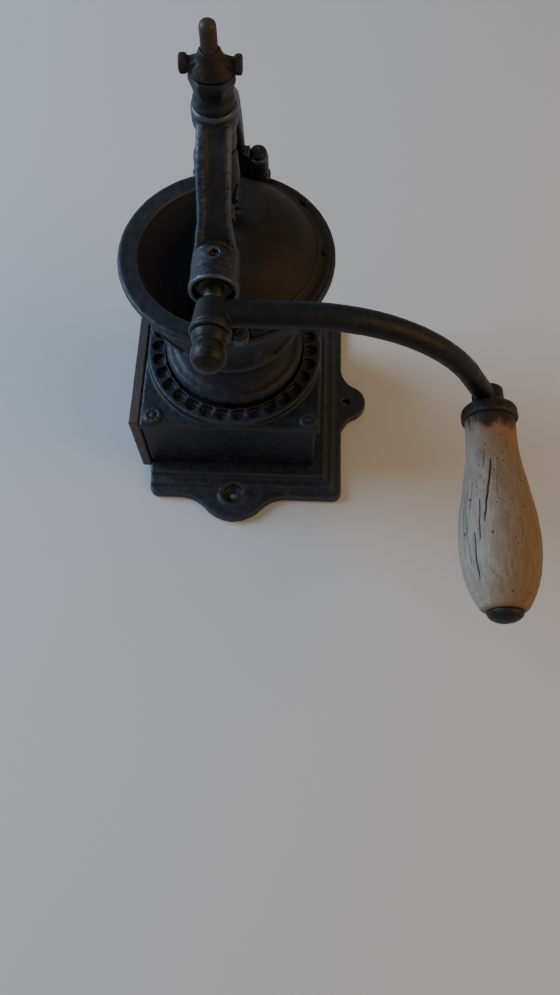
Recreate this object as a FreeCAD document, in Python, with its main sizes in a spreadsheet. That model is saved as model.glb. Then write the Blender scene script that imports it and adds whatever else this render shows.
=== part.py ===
import FreeCAD, Part
import math
import os
from types import SimpleNamespace

import Sketcher
from FreeCAD import Placement, Rotation, Vector

# Cast-iron coffee mill, millimetres. Origin: on the mill's axis, at the underside of the foot plate.
# +Z is up, -Y is the crank's side, -X is the drawer's side.

DIMENSIONS = {
    # foot plate
    "foot_left": 50.0,
    "foot_right": 64.5,
    "foot_reach": 67.0,
    "foot_thick": 5.0,
    "step_one": 2.0,
    "step_two": 2.5,
    "step_width": 6.0,
    "lug_hole_reach": 65.5,
    "side_hole_reach": 67.2,
    "lug_tip": 81.7,
    "side_tip": 79.7,
    "bolt_radius": 2.25,
    "bolt_sink_radius": 5.7,
    "bolt_sink_deep": 1.6,
    "bolt_ring_radius": 8.4,
    # box
    "box_half": 47.0,
    "deck_half": 49.0,
    "deck_top": 57.4,
    "deck_thick": 4.0,
    "wall": 4.0,
    "box_left": 50.0,
    "opening_half": 35.3,
    "opening_top": 46.0,
    "outlet_radius": 20.0,
    "ring_inner": 38.5,
    "ring_outer": 48.5,
    "ring_rise": 3.6,
    "niche_count": 30.0,
    "niche_half": 3.5,
    "niche_deep": 2.8,
    "rosette_place": 42.6,
    "post_radius": 4.6,
    "post_place": 39.6,
    "post_top": 30.0,
    "small_screw": 2.0,
    # hopper
    "base_radius": 34.0,
    "torus_radius": 38.0,
    "neck_radius": 28.5,
    "lip_radius": 36.5,
    "lip_height": 94.0,
    "bowl_radius": 48.0,
    "rim_radius": 51.4,
    "rim_inner": 41.6,
    "rim_top": 140.2,
    "rim_thick": 3.8,
    "burr_seat": 62.0,
    "burr_top": 90.0,
    "burr_outer": 24.0,
    # bridge
    "shaft_height": 177.0,
    "boss_radius": 8.8,
    "boss_bottom": 203.0,
    "boss_step": 213.0,
    "boss_top": 222.0,
    "collar_top": 235.0,
    "arm_width": 13.4,
    "web_width": 9.0,
    "housing_radius": 9.8,
    "housing_back": 32.0,
    "housing_front": 52.0,
    "foot_inner": 44.0,
    "foot_outer": 51.0,
    "foot_height": 3.2,
    "front_screw_x": 8.6,
    "back_screw_x": 13.2,
    "pillar_radius": 4.8,
    "pillar_top": 155.0,
    "screw_y": 47.9,
    "bush_radius": 6.5,
    # shafts
    "shaft_radius": 4.0,
    "run_gap": 0.05,
    "stud_radius": 3.1,
    "stud_top": 254.0,
    "spindle_bottom": 47.6,
    # bevel pair: the two axes meet at the shaft's height
    "pinion_teeth": 12.0,
    "crown_teeth": 12.0,
    "pinion_pitch": 8.0,
    "crown_pitch": 8.0,
    "crown_hub_radius": 7.6,
    "crown_hub_top": 201.4,
    "tooth_rise": 1.1,
    "tooth_fall": 1.5,
    "tooth_face": 2.8,
    # crank
    "hub_radius": 8.0,
    "hub_back": 57.4,
    "hub_front": 69.5,
    "arm_plane": 61.2,
    "arm_straight": 38.0,
    "arm_bend": 88.0,
    "arm_turn": 54.0,
    "arm_radius": 4.8,
    "pin_x": 123.6,
    "pin_drop": 59.0,
    "eye_radius": 7.2,
    "eye_back": 56.4,
    "eye_front": 66.0,
    "pin_radius": 3.5,
    "nut_radius": 7.0,
    "nut_front": 88.0,
    "ferrule_back": 66.8,
    "ferrule_front": 76.5,
    "ferrule_radius": 12.6,
    "wood_front": 162.0,
    "belly_radius": 17.3,
    "belly_place": 131.0,
    "waist_radius": 11.7,
    "waist_place": 88.0,
    "cap_front": 167.0,
    "cap_radius": 7.8,
    # drawer
    "tray_half": 34.6,
    "tray_back": 40.0,
    "tray_top": 42.0,
    "tray_floor": 9.9,
    "sheet_thick": 1.4,
    "front_inner": 50.3,
    "front_outer": 55.6,
    "front_half": 48.2,
    "front_bottom": 2.0,
    "front_top": 57.2,
    "knob_height": 26.0,
    "knob_radius": 5.0,
}

doc = FreeCAD.newDocument("coffee_mill")


class Size:
    """A length that keeps its sheet expression beside its value."""

    def __init__(self, value, text):
        self.value = value
        self.text = text

    def __add__(self, other):
        other = sized(other)
        return Size(self.value + other.value, f"({self.text} + {other.text})")

    def __sub__(self, other):
        other = sized(other)
        return Size(self.value - other.value, f"({self.text} - {other.text})")

    def __mul__(self, other):
        other = sized(other)
        return Size(self.value * other.value, f"({self.text} * {other.text})")

    def __truediv__(self, other):
        other = sized(other)
        return Size(self.value / other.value, f"({self.text} / {other.text})")

    def __neg__(self):
        return Size(-self.value, f"(-1 * {self.text})")

    def __radd__(self, other):
        return sized(other) + self

    def __rsub__(self, other):
        return sized(other) - self

    def __rmul__(self, other):
        return sized(other) * self

    def __rtruediv__(self, other):
        return sized(other) / self


def sized(value):
    """A plain number as a Size, so that both kinds mix in one sum."""
    if isinstance(value, Size):
        return value
    return Size(float(value), f"{value:.6g}")


def make_sheet():
    """The driving dimensions, one alias a row."""
    sheet = doc.addObject("Spreadsheet::Sheet", "Sizes")
    for row, (name, value) in enumerate(DIMENSIONS.items(), start=1):
        sheet.set(f"A{row}", name)
        sheet.set(f"B{row}", f"{value}")
        sheet.setAlias(f"B{row}", name)
    doc.recompute()
    aliases = {name: Size(value, f"Sizes.{name}") for name, value in DIMENSIONS.items()}
    return SimpleNamespace(**aliases)


d = make_sheet()
foot_top = d.foot_thick + d.step_one + d.step_two
deck_under = d.deck_top - d.deck_thick
parts = []


# ---------------------------------------------------------------- shared building steps

def bind(item, path, value):
    """Bind one property to its expression."""
    item.setExpression(path, sized(value).text)


def keep(item):
    """Count an object as a sub-part of the mill."""
    parts.append(item)
    return item


def new_body(label):
    body = doc.addObject("PartDesign::Body", label)
    body.Label = label
    return keep(body)


def origin_plane(body, role):
    return next(item for item in body.Origin.OriginFeatures if item.Role == role)


def new_sketch(body, name, role="XY_Plane", offset=0.0):
    """A sketch on one of the body's origin planes, moved along the plane's normal."""
    sketch = body.newObject("Sketcher::SketchObject", f"{body.Name}_{name}")
    sketch.AttachmentSupport = [(origin_plane(body, role), "")]
    sketch.MapMode = "FlatFace"
    bind(sketch, "AttachmentOffset.Base.z", offset)
    return sketch


def point_at(geo, pos, x, y):
    """The two constraints, with their expressions, that hold one point of a sketch."""
    pairs = []
    for axis, kind, value in ((-2, "DistanceX", sized(x)), (-1, "DistanceY", sized(y))):
        if abs(value.value) < 1e-9:
            pairs.append((Sketcher.Constraint("PointOnObject", geo, pos, axis), None))
        else:
            pairs.append((Sketcher.Constraint(kind, -1, 1, geo, pos, value.value), value.text))
    return pairs


def hold(sketch, pairs):
    """Add constraints together, then bind each one that has an expression."""
    indices = sketch.addConstraint([constraint for constraint, _ in pairs])
    for index, (_, text) in zip(indices, pairs):
        if text:
            sketch.setExpression(f"Constraints[{index}]", text)


def flat(point):
    return Vector(sized(point[0]).value, sized(point[1]).value, 0)


def outline(sketch, points):
    """A closed outline. A point is (x, y), or (x, y, through) to arrive along an arc."""
    ends = []
    pairs = []
    for index, point in enumerate(points):
        before = flat(points[index - 1])
        after = flat(point)
        if len(point) == 3:
            through = flat(point[2])
            leftwards = (through - before).cross(after - through).z > 0
            first, last = (before, after) if leftwards else (after, before)
            arc = sketch.addGeometry(Part.Arc(first, through, last), False)
            ends.append((arc, 1, 2) if leftwards else (arc, 2, 1))
            crossed = sketch.addGeometry(Part.Point(through), True)
            pairs += point_at(crossed, 1, *point[2])
            pairs.append((Sketcher.Constraint("PointOnObject", crossed, 1, arc), None))
        else:
            line = sketch.addGeometry(Part.LineSegment(before, after), False)
            ends.append((line, 1, 2))
    for index, point in enumerate(points):
        geo, _, end = ends[index]
        follower, start, _ = ends[(index + 1) % len(points)]
        pairs.append((Sketcher.Constraint("Coincident", geo, end, follower, start), None))
        pairs += point_at(geo, end, point[0], point[1])
    hold(sketch, pairs)
    return sketch


def circle(sketch, x, y, radius):
    radius = sized(radius)
    geo = sketch.addGeometry(Part.Circle(flat((x, y)), Vector(0, 0, 1), radius.value), False)
    pairs = point_at(geo, 3, x, y)
    pairs.append((Sketcher.Constraint("Radius", geo, radius.value), radius.text))
    hold(sketch, pairs)
    return sketch


def rectangle(sketch, left, low, right, high):
    return outline(sketch, [(left, low), (right, low), (right, high), (left, high)])


def feature(body, kind, name, sketch):
    item = body.newObject(f"PartDesign::{kind}", f"{body.Name}_{name}")
    item.Profile = sketch
    sketch.Visibility = False
    return item


def pad(body, name, sketch, length, midplane=False):
    item = feature(body, "Pad", name, sketch)
    bind(item, "Length", length)
    item.Midplane = midplane
    return item


def pocket(body, name, sketch, length, upwards=False, midplane=False):
    """A cut against the sketch's normal, or along it when upwards is set."""
    item = feature(body, "Pocket", name, sketch)
    bind(item, "Length", length)
    item.Reversed = upwards
    item.Midplane = midplane
    return item


def turned(body, name, sketch, kind="Revolution", angle=360.0):
    """A form turned about the sketch's vertical axis."""
    item = feature(body, kind, name, sketch)
    item.ReferenceAxis = (sketch, ["V_Axis"])
    item.Angle = angle
    item.Midplane = angle < 360.0
    return item


def lathe(label, points):
    """A whole piece turned about its own Z axis, from a radius and height outline."""
    body = new_body(label)
    turned(body, "turning", outline(new_sketch(body, "profile", "XZ_Plane"), points))
    return body


def ring_of(body, name, source, count):
    """Repeat a feature about the body's Z axis."""
    pattern = body.newObject("PartDesign::PolarPattern", f"{body.Name}_{name}")
    pattern.Originals = [source]
    axis = next(item for item in body.Origin.OriginFeatures if item.Role == "Z_Axis")
    pattern.Axis = (axis, [""])
    pattern.Angle = 360.0
    bind(pattern, "Occurrences", count)
    body.Tip = pattern
    return pattern


def soften(body, name, size, wanted, kind="Fillet"):
    """Round or bevel the edges of the body's last shape that wanted() accepts."""
    doc.recompute()
    base = body.Tip
    names = [f"Edge{n}" for n, edge in enumerate(base.Shape.Edges, start=1) if wanted(edge)]
    item = body.newObject(f"PartDesign::{kind}", f"{body.Name}_{name}")
    item.Base = (base, names)
    if kind == "Fillet":
        item.Radius = size
    else:
        item.Size = size
    return item


def level_edge(edge, height, tolerance=0.01):
    box = edge.BoundBox
    return abs(box.ZMin - height) < tolerance and abs(box.ZMax - height) < tolerance


def facing_crank(item, height=None):
    """Turn a piece's own +Z towards the crank's side, on the crank shaft's axis."""
    item.Placement = Placement(Vector(0, 0, 0), Rotation(Vector(1, 0, 0), 90))
    bind(item, "Placement.Base.z", d.shaft_height if height is None else height)
    return item


def cylinder(name, radius, low, high, x=0.0, y=0.0):
    item = doc.addObject("Part::Cylinder", name)
    bind(item, "Radius", radius)
    bind(item, "Height", sized(high) - low)
    bind(item, "Placement.Base.x", x)
    bind(item, "Placement.Base.y", y)
    bind(item, "Placement.Base.z", low)
    return item


def cone(name, low_radius, high_radius, low, high, x=0.0, y=0.0):
    item = doc.addObject("Part::Cone", name)
    bind(item, "Radius1", low_radius)
    bind(item, "Radius2", high_radius)
    bind(item, "Height", sized(high) - low)
    bind(item, "Placement.Base.x", x)
    bind(item, "Placement.Base.y", y)
    bind(item, "Placement.Base.z", low)
    return item


def fuse(name, *items):
    item = doc.addObject("Part::MultiFuse", name)
    item.Shapes = list(items)
    return item


def group(label, items):
    """Separate identical pieces that share one node."""
    item = doc.addObject("Part::Compound", label)
    item.Label = label
    item.Links = list(items)
    return keep(item)


def fastener(name, place, radius, tip, neck, head_radius, head_top):
    """A screw or rivet on a vertical axis: shank from tip to neck, bevelled head beyond it."""
    x, y = place
    low, high = (tip, neck) if sized(tip).value < sized(neck).value else (neck, tip)
    shank = cylinder(f"{name}_shank", radius, low, high, x, y)
    if sized(head_top).value > sized(neck).value:
        head = cone(f"{name}_head", head_radius, head_radius * 0.68, neck, head_top, x, y)
    else:
        head = cone(f"{name}_head", head_radius * 0.68, head_radius, head_top, neck, x, y)
    return fuse(name, shank, head)


# ---------------------------------------------------------------- foot plate and box

def make_foot_plate():
    """Cast plate with three bolt lugs and two steps up to the box."""
    body = new_body("foot_plate")
    plate = rectangle(new_sketch(body, "plate"), -d.foot_left, -d.foot_reach, d.foot_right, d.foot_reach)
    pad(body, "slab", plate, d.foot_thick)
    soften(body, "corners", 5.0, lambda e: e.BoundBox.ZLength > 4 and e.BoundBox.XLength < 0.01)
    soften(body, "edge", 0.8, lambda e: level_edge(e, d.foot_thick.value))
    for side, name in ((-1, "front"), (1, "back")):
        lug = outline(new_sketch(body, f"{name}_lug"), [
            (-30, side * 60), (30, side * 60), (30, side * d.foot_reach),
            (17, side * (d.lug_tip - 8.2), (22.5, side * (d.foot_reach + 2.4))),
            (-17, side * (d.lug_tip - 8.2), (0, side * d.lug_tip)),
            (-30, side * d.foot_reach, (-22.5, side * (d.foot_reach + 2.4))),
        ])
        pad(body, f"{name}_lug_pad", lug, d.foot_thick)
    lug = outline(new_sketch(body, "side_lug"), [
        (58, -22), (d.foot_right, -22), (71, -11.5, (67, -15.8)),
        (71, 11.5, (d.side_tip, 0)), (d.foot_right, 22, (67, 15.8)), (58, 22),
    ])
    pad(body, "side_lug_pad", lug, d.foot_thick)
    reach = d.foot_reach - d.step_width
    right = d.foot_right - d.step_width * 0.8
    step = rectangle(new_sketch(body, "step_low"), -d.foot_left, -reach, right, reach)
    pad(body, "step_low_pad", step, d.foot_thick + d.step_one)
    reach = reach - d.step_width
    right = right - d.step_width * 0.8
    step = rectangle(new_sketch(body, "step_high"), -d.foot_left, -reach, right, reach)
    pad(body, "step_high_pad", step, foot_top)
    places = ((0, -d.lug_hole_reach), (0, d.lug_hole_reach))
    rings = new_sketch(body, "rings")
    for x, y in places:
        circle(rings, x, y, d.bolt_ring_radius)
    pad(body, "rings_pad", rings, d.foot_thick + 1.2)
    sinks = new_sketch(body, "sinks", offset=foot_top)
    holes = new_sketch(body, "holes", offset=foot_top)
    for x, y in places:
        circle(sinks, x, y, d.bolt_sink_radius)
        circle(holes, x, y, d.bolt_radius)
    pocket(body, "sink_cut", sinks, foot_top - d.foot_thick + d.bolt_sink_deep)
    circle(holes, d.side_hole_reach, 0, d.bolt_radius)
    pocket(body, "hole_cut", holes, foot_top)
    heads = new_sketch(body, "heads")
    screws = new_sketch(body, "screws")
    for x, y in post_places():
        circle(heads, x, y, 4.2)
        circle(screws, x, y, d.small_screw)
    pocket(body, "head_cut", heads, 2.6, upwards=True)
    pocket(body, "screw_cut", screws, foot_top, upwards=True)


def post_places():
    """The four corner posts of the box, drawer side first."""
    left = 1.2 - d.post_place
    return ((left, -d.post_place), (left, d.post_place),
            (d.post_place, -d.post_place), (d.post_place, d.post_place))


def make_box():
    """Cast box, open below and at the drawer's side, with a moulded deck."""
    body = new_body("box_casting")
    wall = rectangle(new_sketch(body, "wall", offset=foot_top),
                     -d.box_left, -d.box_half, d.box_half, d.box_half)
    pad(body, "walls", wall, d.deck_top - foot_top)
    soften(body, "corners", 1.5,
           lambda e: e.BoundBox.ZLength > 40 and e.BoundBox.XMin > 40)
    low = d.box_half + 1
    cornice = rectangle(new_sketch(body, "cornice", offset=deck_under - 1.6),
                        -d.box_left, -low, low, low)
    pad(body, "cornice_pad", cornice, 2.0)
    deck = rectangle(new_sketch(body, "deck", offset=deck_under),
                     -d.box_left, -d.deck_half, d.deck_half, d.deck_half)
    pad(body, "deck_pad", deck, d.deck_thick)
    soften(body, "deck_edge", 1.2, lambda e: level_edge(e, d.deck_top.value))
    inner = d.box_half - d.wall
    cavity = rectangle(new_sketch(body, "cavity", offset=foot_top),
                       d.wall - d.box_left, -inner, inner, inner)
    pocket(body, "cavity_cut", cavity, deck_under - foot_top, upwards=True)
    posts = new_sketch(body, "posts", offset=foot_top)
    screws = new_sketch(body, "screws", offset=foot_top)
    for x, y in post_places():
        circle(posts, x, y, d.post_radius)
        circle(screws, x, y, d.small_screw)
    pad(body, "posts_pad", posts, d.post_top - foot_top)
    pocket(body, "screws_cut", screws, d.post_top - foot_top - 3, upwards=True)
    opening = rectangle(new_sketch(body, "opening", "YZ_Plane", -d.box_left),
                        -d.opening_half, foot_top, d.opening_half, d.opening_top)
    pocket(body, "opening_cut", opening, d.wall + 2, upwards=True)
    ring = new_sketch(body, "ring", offset=d.deck_top)
    circle(ring, 0, 0, d.ring_outer)
    circle(ring, 0, 0, d.ring_inner)
    pad(body, "ring_pad", ring, d.ring_rise)
    corners = [(x, y) for x in (-1, 1) for y in (-1, 1)]
    rosette = new_sketch(body, "rosette", offset=d.deck_top)
    for x, y in corners:
        for radius in (4.4, 3.2, 1.6):
            circle(rosette, x * d.rosette_place, y * d.rosette_place, radius)
    pad(body, "rosette_pad", rosette, 1.2)
    bars = new_sketch(body, "bar_screws", offset=deck_under)
    holes = new_sketch(body, "hopper_screws", offset=deck_under)
    for x, y in hopper_places():
        circle(holes, x, y, d.small_screw)
    for y in (-1, 1):
        circle(bars, 0, y * 27.5, d.small_screw)
    pocket(body, "hopper_screw_cut", holes, d.deck_thick, upwards=True)
    pocket(body, "bar_screw_cut", bars, d.deck_thick - 0.6, upwards=True)
    outlet = circle(new_sketch(body, "outlet", offset=deck_under), 0, 0, d.outlet_radius)
    pocket(body, "outlet_cut", outlet, d.deck_thick, upwards=True)
    niche = outline(new_sketch(body, "niche", offset=d.deck_top + d.ring_rise), [
        (d.ring_inner + 0.9, -d.niche_half),
        (d.ring_outer - 5.2, -d.niche_half),
        (d.ring_outer - 5.2, d.niche_half, (d.ring_outer - 2.6, 0)),
        (d.ring_inner + 0.9, d.niche_half),
    ])
    ring_of(body, "niches", pocket(body, "niche_cut", niche, d.niche_deep), d.niche_count)


def hopper_places():
    """The four screws that hold the hopper from below the deck."""
    reach = 29 * math.sqrt(0.5)
    return tuple((x * reach, y * reach) for x in (-1, 1) for y in (-1, 1))


def make_box_fasteners():
    shank = d.small_screw - 0.04
    group("box_screws", [
        fastener(f"box_screw_{n}", place, shank, d.post_top - 4, 2.5, sized(4.0), 0.4)
        for n, place in enumerate(post_places(), start=1)])
    group("hopper_screws", [
        fastener(f"hopper_screw_{n}", place, shank, 66.0, deck_under - 0.02, sized(3.8), deck_under - 2.2)
        for n, place in enumerate(hopper_places(), start=1)])
    group("bar_screws", [
        fastener(f"bar_screw_{n}", (0, y), shank, d.deck_top - 1, deck_under - 6.02, sized(3.6),
                 deck_under - 8.2)
        for n, y in enumerate((-27.5, 27.5), start=1)])


def make_bearing_bar():
    """Flat bar under the deck that carries the spindle's foot."""
    body = new_body("lower_bearing_bar")
    half = 5.5
    bar = outline(new_sketch(body, "bar", offset=deck_under - 6), [
        (-half, -33), (half, -33), (half, 33), (-half, 33)])
    pad(body, "bar_pad", bar, 6)
    cuts = new_sketch(body, "cuts", offset=deck_under - 6)
    circle(cuts, 0, 0, d.shaft_radius + d.run_gap)
    for y in (-27.5, 27.5):
        circle(cuts, 0, y, d.small_screw)
    pocket(body, "bar_cut", cuts, 6, upwards=True)
    soften(body, "bar_ends", 3.0,
           lambda e: e.BoundBox.ZLength > 5 and abs(e.BoundBox.YMin) > 30 and e.BoundBox.YLength < 0.01)


# ---------------------------------------------------------------- hopper and burrs

def make_hopper():
    """Turned and cast bowl: bead at its foot, drawn-in neck, lip, ribbed bowl and flat rim."""
    body = new_body("hopper_bowl")
    under = d.rim_top - d.rim_thick
    seat = d.burr_outer + 0.05
    profile = outline(new_sketch(body, "profile", "XZ_Plane"), [
        (d.base_radius, d.deck_top),
        (d.base_radius, d.deck_top + 3.6),
        (d.base_radius, d.deck_top + 11.4, (d.torus_radius, d.deck_top + 7.5)),
        (d.base_radius - 2.6, d.deck_top + 12.6),
        (d.lip_radius - 1, d.lip_height - 2, (d.neck_radius, d.lip_height - 14)),
        (d.lip_radius, d.lip_height - 1),
        (d.lip_radius, d.lip_height + 1.4),
        (d.lip_radius - 2.8, d.lip_height + 3.2),
        (d.bowl_radius, under - 1.2, (d.bowl_radius - 4.6, d.lip_height + 24)),
        (d.rim_radius - 1, under),
        (d.rim_radius, under + 1),
        (d.rim_radius, d.rim_top - 1),
        (d.rim_radius - 1, d.rim_top),
        (d.rim_inner, d.rim_top),
        (d.rim_inner, d.rim_top - 2.4),
        (seat + 1, d.burr_top + 2, (d.rim_inner - 4.2, d.lip_height + 24)),
        (seat, d.burr_top + 1),
        (seat, d.burr_seat),
        (d.outlet_radius + 0.6, d.burr_seat),
        (d.outlet_radius + 0.6, d.deck_top),
    ])
    turned(body, "turning", profile)
    rib = outline(new_sketch(body, "rib", "XZ_Plane"), [
        (d.lip_radius - 4, d.lip_height + 2), (d.lip_radius - 0.4, d.lip_height + 2.6),
        (d.bowl_radius - 2.2, d.lip_height + 27, (d.bowl_radius - 6.6, d.lip_height + 15)),
        (d.bowl_radius - 6, d.lip_height + 27),
    ])
    ring_of(body, "ribs", pad(body, "rib_pad", rib, 2.4, midplane=True), 16)
    holes = new_sketch(body, "screws", offset=d.deck_top)
    for x, y in hopper_places():
        circle(holes, x, y, d.small_screw)
    pocket(body, "screw_cut", holes, 9.2, upwards=True)
    bolts = new_sketch(body, "bridge_screws", offset=d.rim_top)
    for x, y in bridge_places():
        circle(bolts, x, y, d.small_screw)
    pocket(body, "bridge_cut", bolts, d.rim_thick)
    rivets = new_sketch(body, "hood_rivets", offset=d.rim_top)
    for x, y in rivet_places():
        circle(rivets, x, y, 1.3)
    pocket(body, "rivet_cut", rivets, d.rim_thick)


def bridge_places():
    """Screws of the bridge: two at its front foot, two at its back foot."""
    front = [(side * d.front_screw_x, -d.screw_y) for side in (-1, 1)]
    back = [(side * d.back_screw_x, d.screw_y - 1.6) for side in (-1, 1)]
    return front + back


def rivet_places():
    """Three rivets along the hood's flange."""
    reach = 46.7
    angles = [math.radians(angle) for angle in (-40, 0, 40)]
    return [(reach * math.cos(angle), reach * math.sin(angle)) for angle in angles]


def make_outer_burr():
    """Fixed grinding ring: a toothed funnel that narrows downwards."""
    body = lathe("outer_burr", [
        (19.6, 0), (d.burr_outer, 0), (d.burr_outer, d.burr_top - d.burr_seat),
        (22.2, d.burr_top - d.burr_seat),
    ])
    groove = outline(new_sketch(body, "groove", "XY_Plane", d.burr_top - d.burr_seat), [
        (20.5, -0.9), (23.0, 0), (20.5, 0.9)])
    ring_of(body, "teeth", pocket(body, "groove_cut", groove, 21), 24)
    bind(body, "Placement.Base.z", d.burr_seat)


def make_inner_burr():
    """Turning cone with coarse breakers above and fine teeth below."""
    body = lathe("inner_burr", [
        (d.shaft_radius + 0.02, 0), (18.8, 0), (18.9, 2), (10.5, 26), (d.shaft_radius + 0.02, 26)])
    groove = outline(new_sketch(body, "groove", "XY_Plane", 26), [
        (10.8, -2.2), (20.0, -3.0), (20.0, 1.2), (10.2, 0.6)])
    ring_of(body, "breakers", pocket(body, "breaker_cut", groove, 20), 5)
    bind(body, "Placement.Base.z", d.burr_seat + 1)


# ---------------------------------------------------------------- bridge and its bearings

def make_bridge():
    """Cast bridge over the hopper: vertical boss, bearing housing, and a foot at each end."""
    body = new_body("bridge")
    axis = d.shaft_height
    feet_top = d.rim_top + 0.02 + d.foot_height
    boss = circle(new_sketch(body, "boss", offset=d.boss_step), 0, 0, d.boss_radius)
    pad(body, "boss_pad", boss, d.boss_top - d.boss_step)
    neck = circle(new_sketch(body, "boss_neck", offset=d.boss_bottom), 0, 0, d.boss_radius - 1)
    pad(body, "boss_neck_pad", neck, d.boss_step - d.boss_bottom)
    arm = outline(new_sketch(body, "front_arm", "YZ_Plane"), [
        (-3, d.boss_top - 6),
        (-9, d.boss_top - 7),
        (4 - d.housing_back, axis + 23, (-20, d.boss_top - 12)),
        (-d.housing_back - 8, axis + 6, (-d.housing_back - 2.2, axis + 13)),
        (-d.housing_back - 1, axis + 4),
        (8 - d.housing_back, axis + 16, (2.6 - d.housing_back, axis + 8.5)),
        (-7, d.boss_bottom + 2, (-17, axis + 23.2)),
        (-3, d.boss_bottom + 2),
    ])
    pad(body, "front_arm_pad", arm, d.arm_width, midplane=True)
    back = outline(new_sketch(body, "back_arm", "YZ_Plane"), [
        (3, d.boss_top - 6),
        (9, d.boss_top - 7),
        (d.foot_outer - 0.5, feet_top + 10, (38, d.boss_top - 29)),
        (d.foot_outer - 0.5, feet_top - 1),
        (d.foot_inner - 2, feet_top - 1),
        (d.foot_inner - 2, feet_top + 10),
        (8, d.boss_bottom + 2, (31, d.boss_bottom - 19)),
        (3, d.boss_bottom + 2),
    ])
    pad(body, "back_arm_pad", back, d.web_width + 1.5, midplane=True)
    web = outline(new_sketch(body, "web", "YZ_Plane"), [
        (-d.foot_outer + 0.6, feet_top - 1),
        (-d.housing_front + 3, axis - 5),
        (-d.housing_back - 5, axis - 5),
        (-d.foot_inner, feet_top - 1, (-d.housing_back - 8, axis - 16)),
    ])
    pad(body, "web_pad", web, d.web_width, midplane=True)
    housing = circle(new_sketch(body, "housing", "XZ_Plane", d.housing_back), 0, axis, d.housing_radius)
    pad(body, "housing_pad", housing, d.housing_front - d.housing_back)
    collar = circle(new_sketch(body, "collar", "XZ_Plane", d.housing_front - 5), 0, axis,
                    d.housing_radius + 0.5)
    pad(body, "collar_pad", collar, 3)
    low = d.rim_top + 0.02
    front = rectangle(new_sketch(body, "front_foot", offset=low), -13, -d.foot_outer, 13, -d.foot_inner)
    pad(body, "front_foot_pad", front, d.foot_height)
    rear = rectangle(new_sketch(body, "back_foot", offset=low),
                     -19, d.foot_inner - 2, 19, d.foot_outer - 0.5)
    pad(body, "back_foot_pad", rear, d.foot_height)
    pillars = new_sketch(body, "pillars", offset=low)
    for x, y in bridge_places()[2:]:
        circle(pillars, x, y, d.pillar_radius)
    pad(body, "pillar_pad", pillars, d.pillar_top - low)
    bore = circle(new_sketch(body, "spindle_bore", offset=d.boss_top), 0, 0, d.bush_radius)
    pocket(body, "spindle_cut", bore, d.boss_top - d.boss_bottom)
    bore = circle(new_sketch(body, "shaft_bore", "XZ_Plane", d.housing_back - 8), 0, axis, d.bush_radius)
    pocket(body, "shaft_cut", bore, d.housing_front - d.housing_back + 8, upwards=True)
    oil = circle(new_sketch(body, "oil", offset=axis + 14), 0, -d.housing_back - 6.5, 2.1)
    pocket(body, "oil_cut", oil, 14)
    holes = new_sketch(body, "screw_holes", offset=d.pillar_top)
    for x, y in bridge_places():
        circle(holes, x, y, d.small_screw)
    pocket(body, "screw_cut", holes, d.pillar_top - low)


def make_bridge_fasteners():
    shank = d.small_screw - 0.04
    tip = d.rim_top - d.rim_thick
    front = [fastener(f"front_screw_{n}", place, shank, tip, d.rim_top + 0.06 + d.foot_height, sized(3.4),
                      d.rim_top + d.foot_height + 2.6)
             for n, place in enumerate(bridge_places()[:2], start=1)]
    back = [fastener(f"back_screw_{n}", place, shank, tip, d.pillar_top + 0.03, sized(4.2),
                     d.pillar_top + 3.2)
            for n, place in enumerate(bridge_places()[2:], start=1)]
    group("bridge_screws", front + back)
    rivets = [fastener(f"hood_rivet_{n}", place, sized(1.26), tip, d.rim_top + 1.56, sized(1.9),
                       d.rim_top + 3.0)
              for n, place in enumerate(rivet_places(), start=1)]
    group("hood_rivets", rivets)


def make_hood():
    """Half dome that covers the hopper on the side away from the drawer."""
    body = new_body("hood")
    low = d.rim_top + 0.02
    crown = d.rim_top + 20.6
    profile = outline(new_sketch(body, "profile", "XZ_Plane"), [
        (42.4, low), (49.0, low), (49.0, low + 1.5), (44.2, low + 1.5),
        (41.8, low + 4.2, (43.8, low + 3.6)),
        (1, crown, (29.5, low + 15.6)),
        (1, crown - 1.5),
        (40.4, low + 3.4, (28.6, low + 14.2)),
    ])
    turned(body, "turning", profile, angle=180.0)
    trim = rectangle(new_sketch(body, "trim", offset=low), -1, -60, 4.8, 60)
    pocket(body, "trim_cut", trim, 30, upwards=True)
    clear = new_sketch(body, "foot_clearance", offset=low)
    rectangle(clear, 0, -60, 13.4, 0.4 - d.foot_inner)
    rectangle(clear, 0, d.foot_inner - 3.2, 19.4, 60)
    pocket(body, "clearance_cut", clear, 30, upwards=True)
    rivets = new_sketch(body, "rivets", offset=low)
    for x, y in rivet_places():
        circle(rivets, x, y, 1.3)
    pocket(body, "rivet_cut", rivets, 3, upwards=True)


def make_bushes():
    """Brass sleeves that carry the two shafts, and the collar under the wing nut."""
    bore = d.shaft_radius + d.run_gap
    outer = d.bush_radius - 0.02
    crank_bush = lathe("crank_bush", [
        (bore, d.housing_back + 0.4), (outer, d.housing_back + 0.4),
        (outer, d.housing_front - 2), (bore, d.housing_front - 2)])
    facing_crank(crank_bush)
    oil = circle(new_sketch(crank_bush, "oil", "XZ_Plane"), 0, d.housing_back + 6.5, 1.5)
    pocket(crank_bush, "oil_cut", oil, d.bush_radius, upwards=True)
    lathe("spindle_bush", [
        (bore, d.boss_bottom), (outer, d.boss_bottom), (outer, d.boss_top), (bore, d.boss_top)])
    lathe("thrust_collar", [
        (bore, d.boss_top + 0.05), (7.6, d.boss_top + 0.05), (7.6, d.boss_top + 3.2),
        (6.6, d.boss_top + 4.2), (8.7, d.boss_top + 8.6), (8.7, d.collar_top - 1.2),
        (8.0, d.collar_top - 0.3), (bore, d.collar_top - 0.3)])


# ---------------------------------------------------------------- spindle and gears

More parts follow.
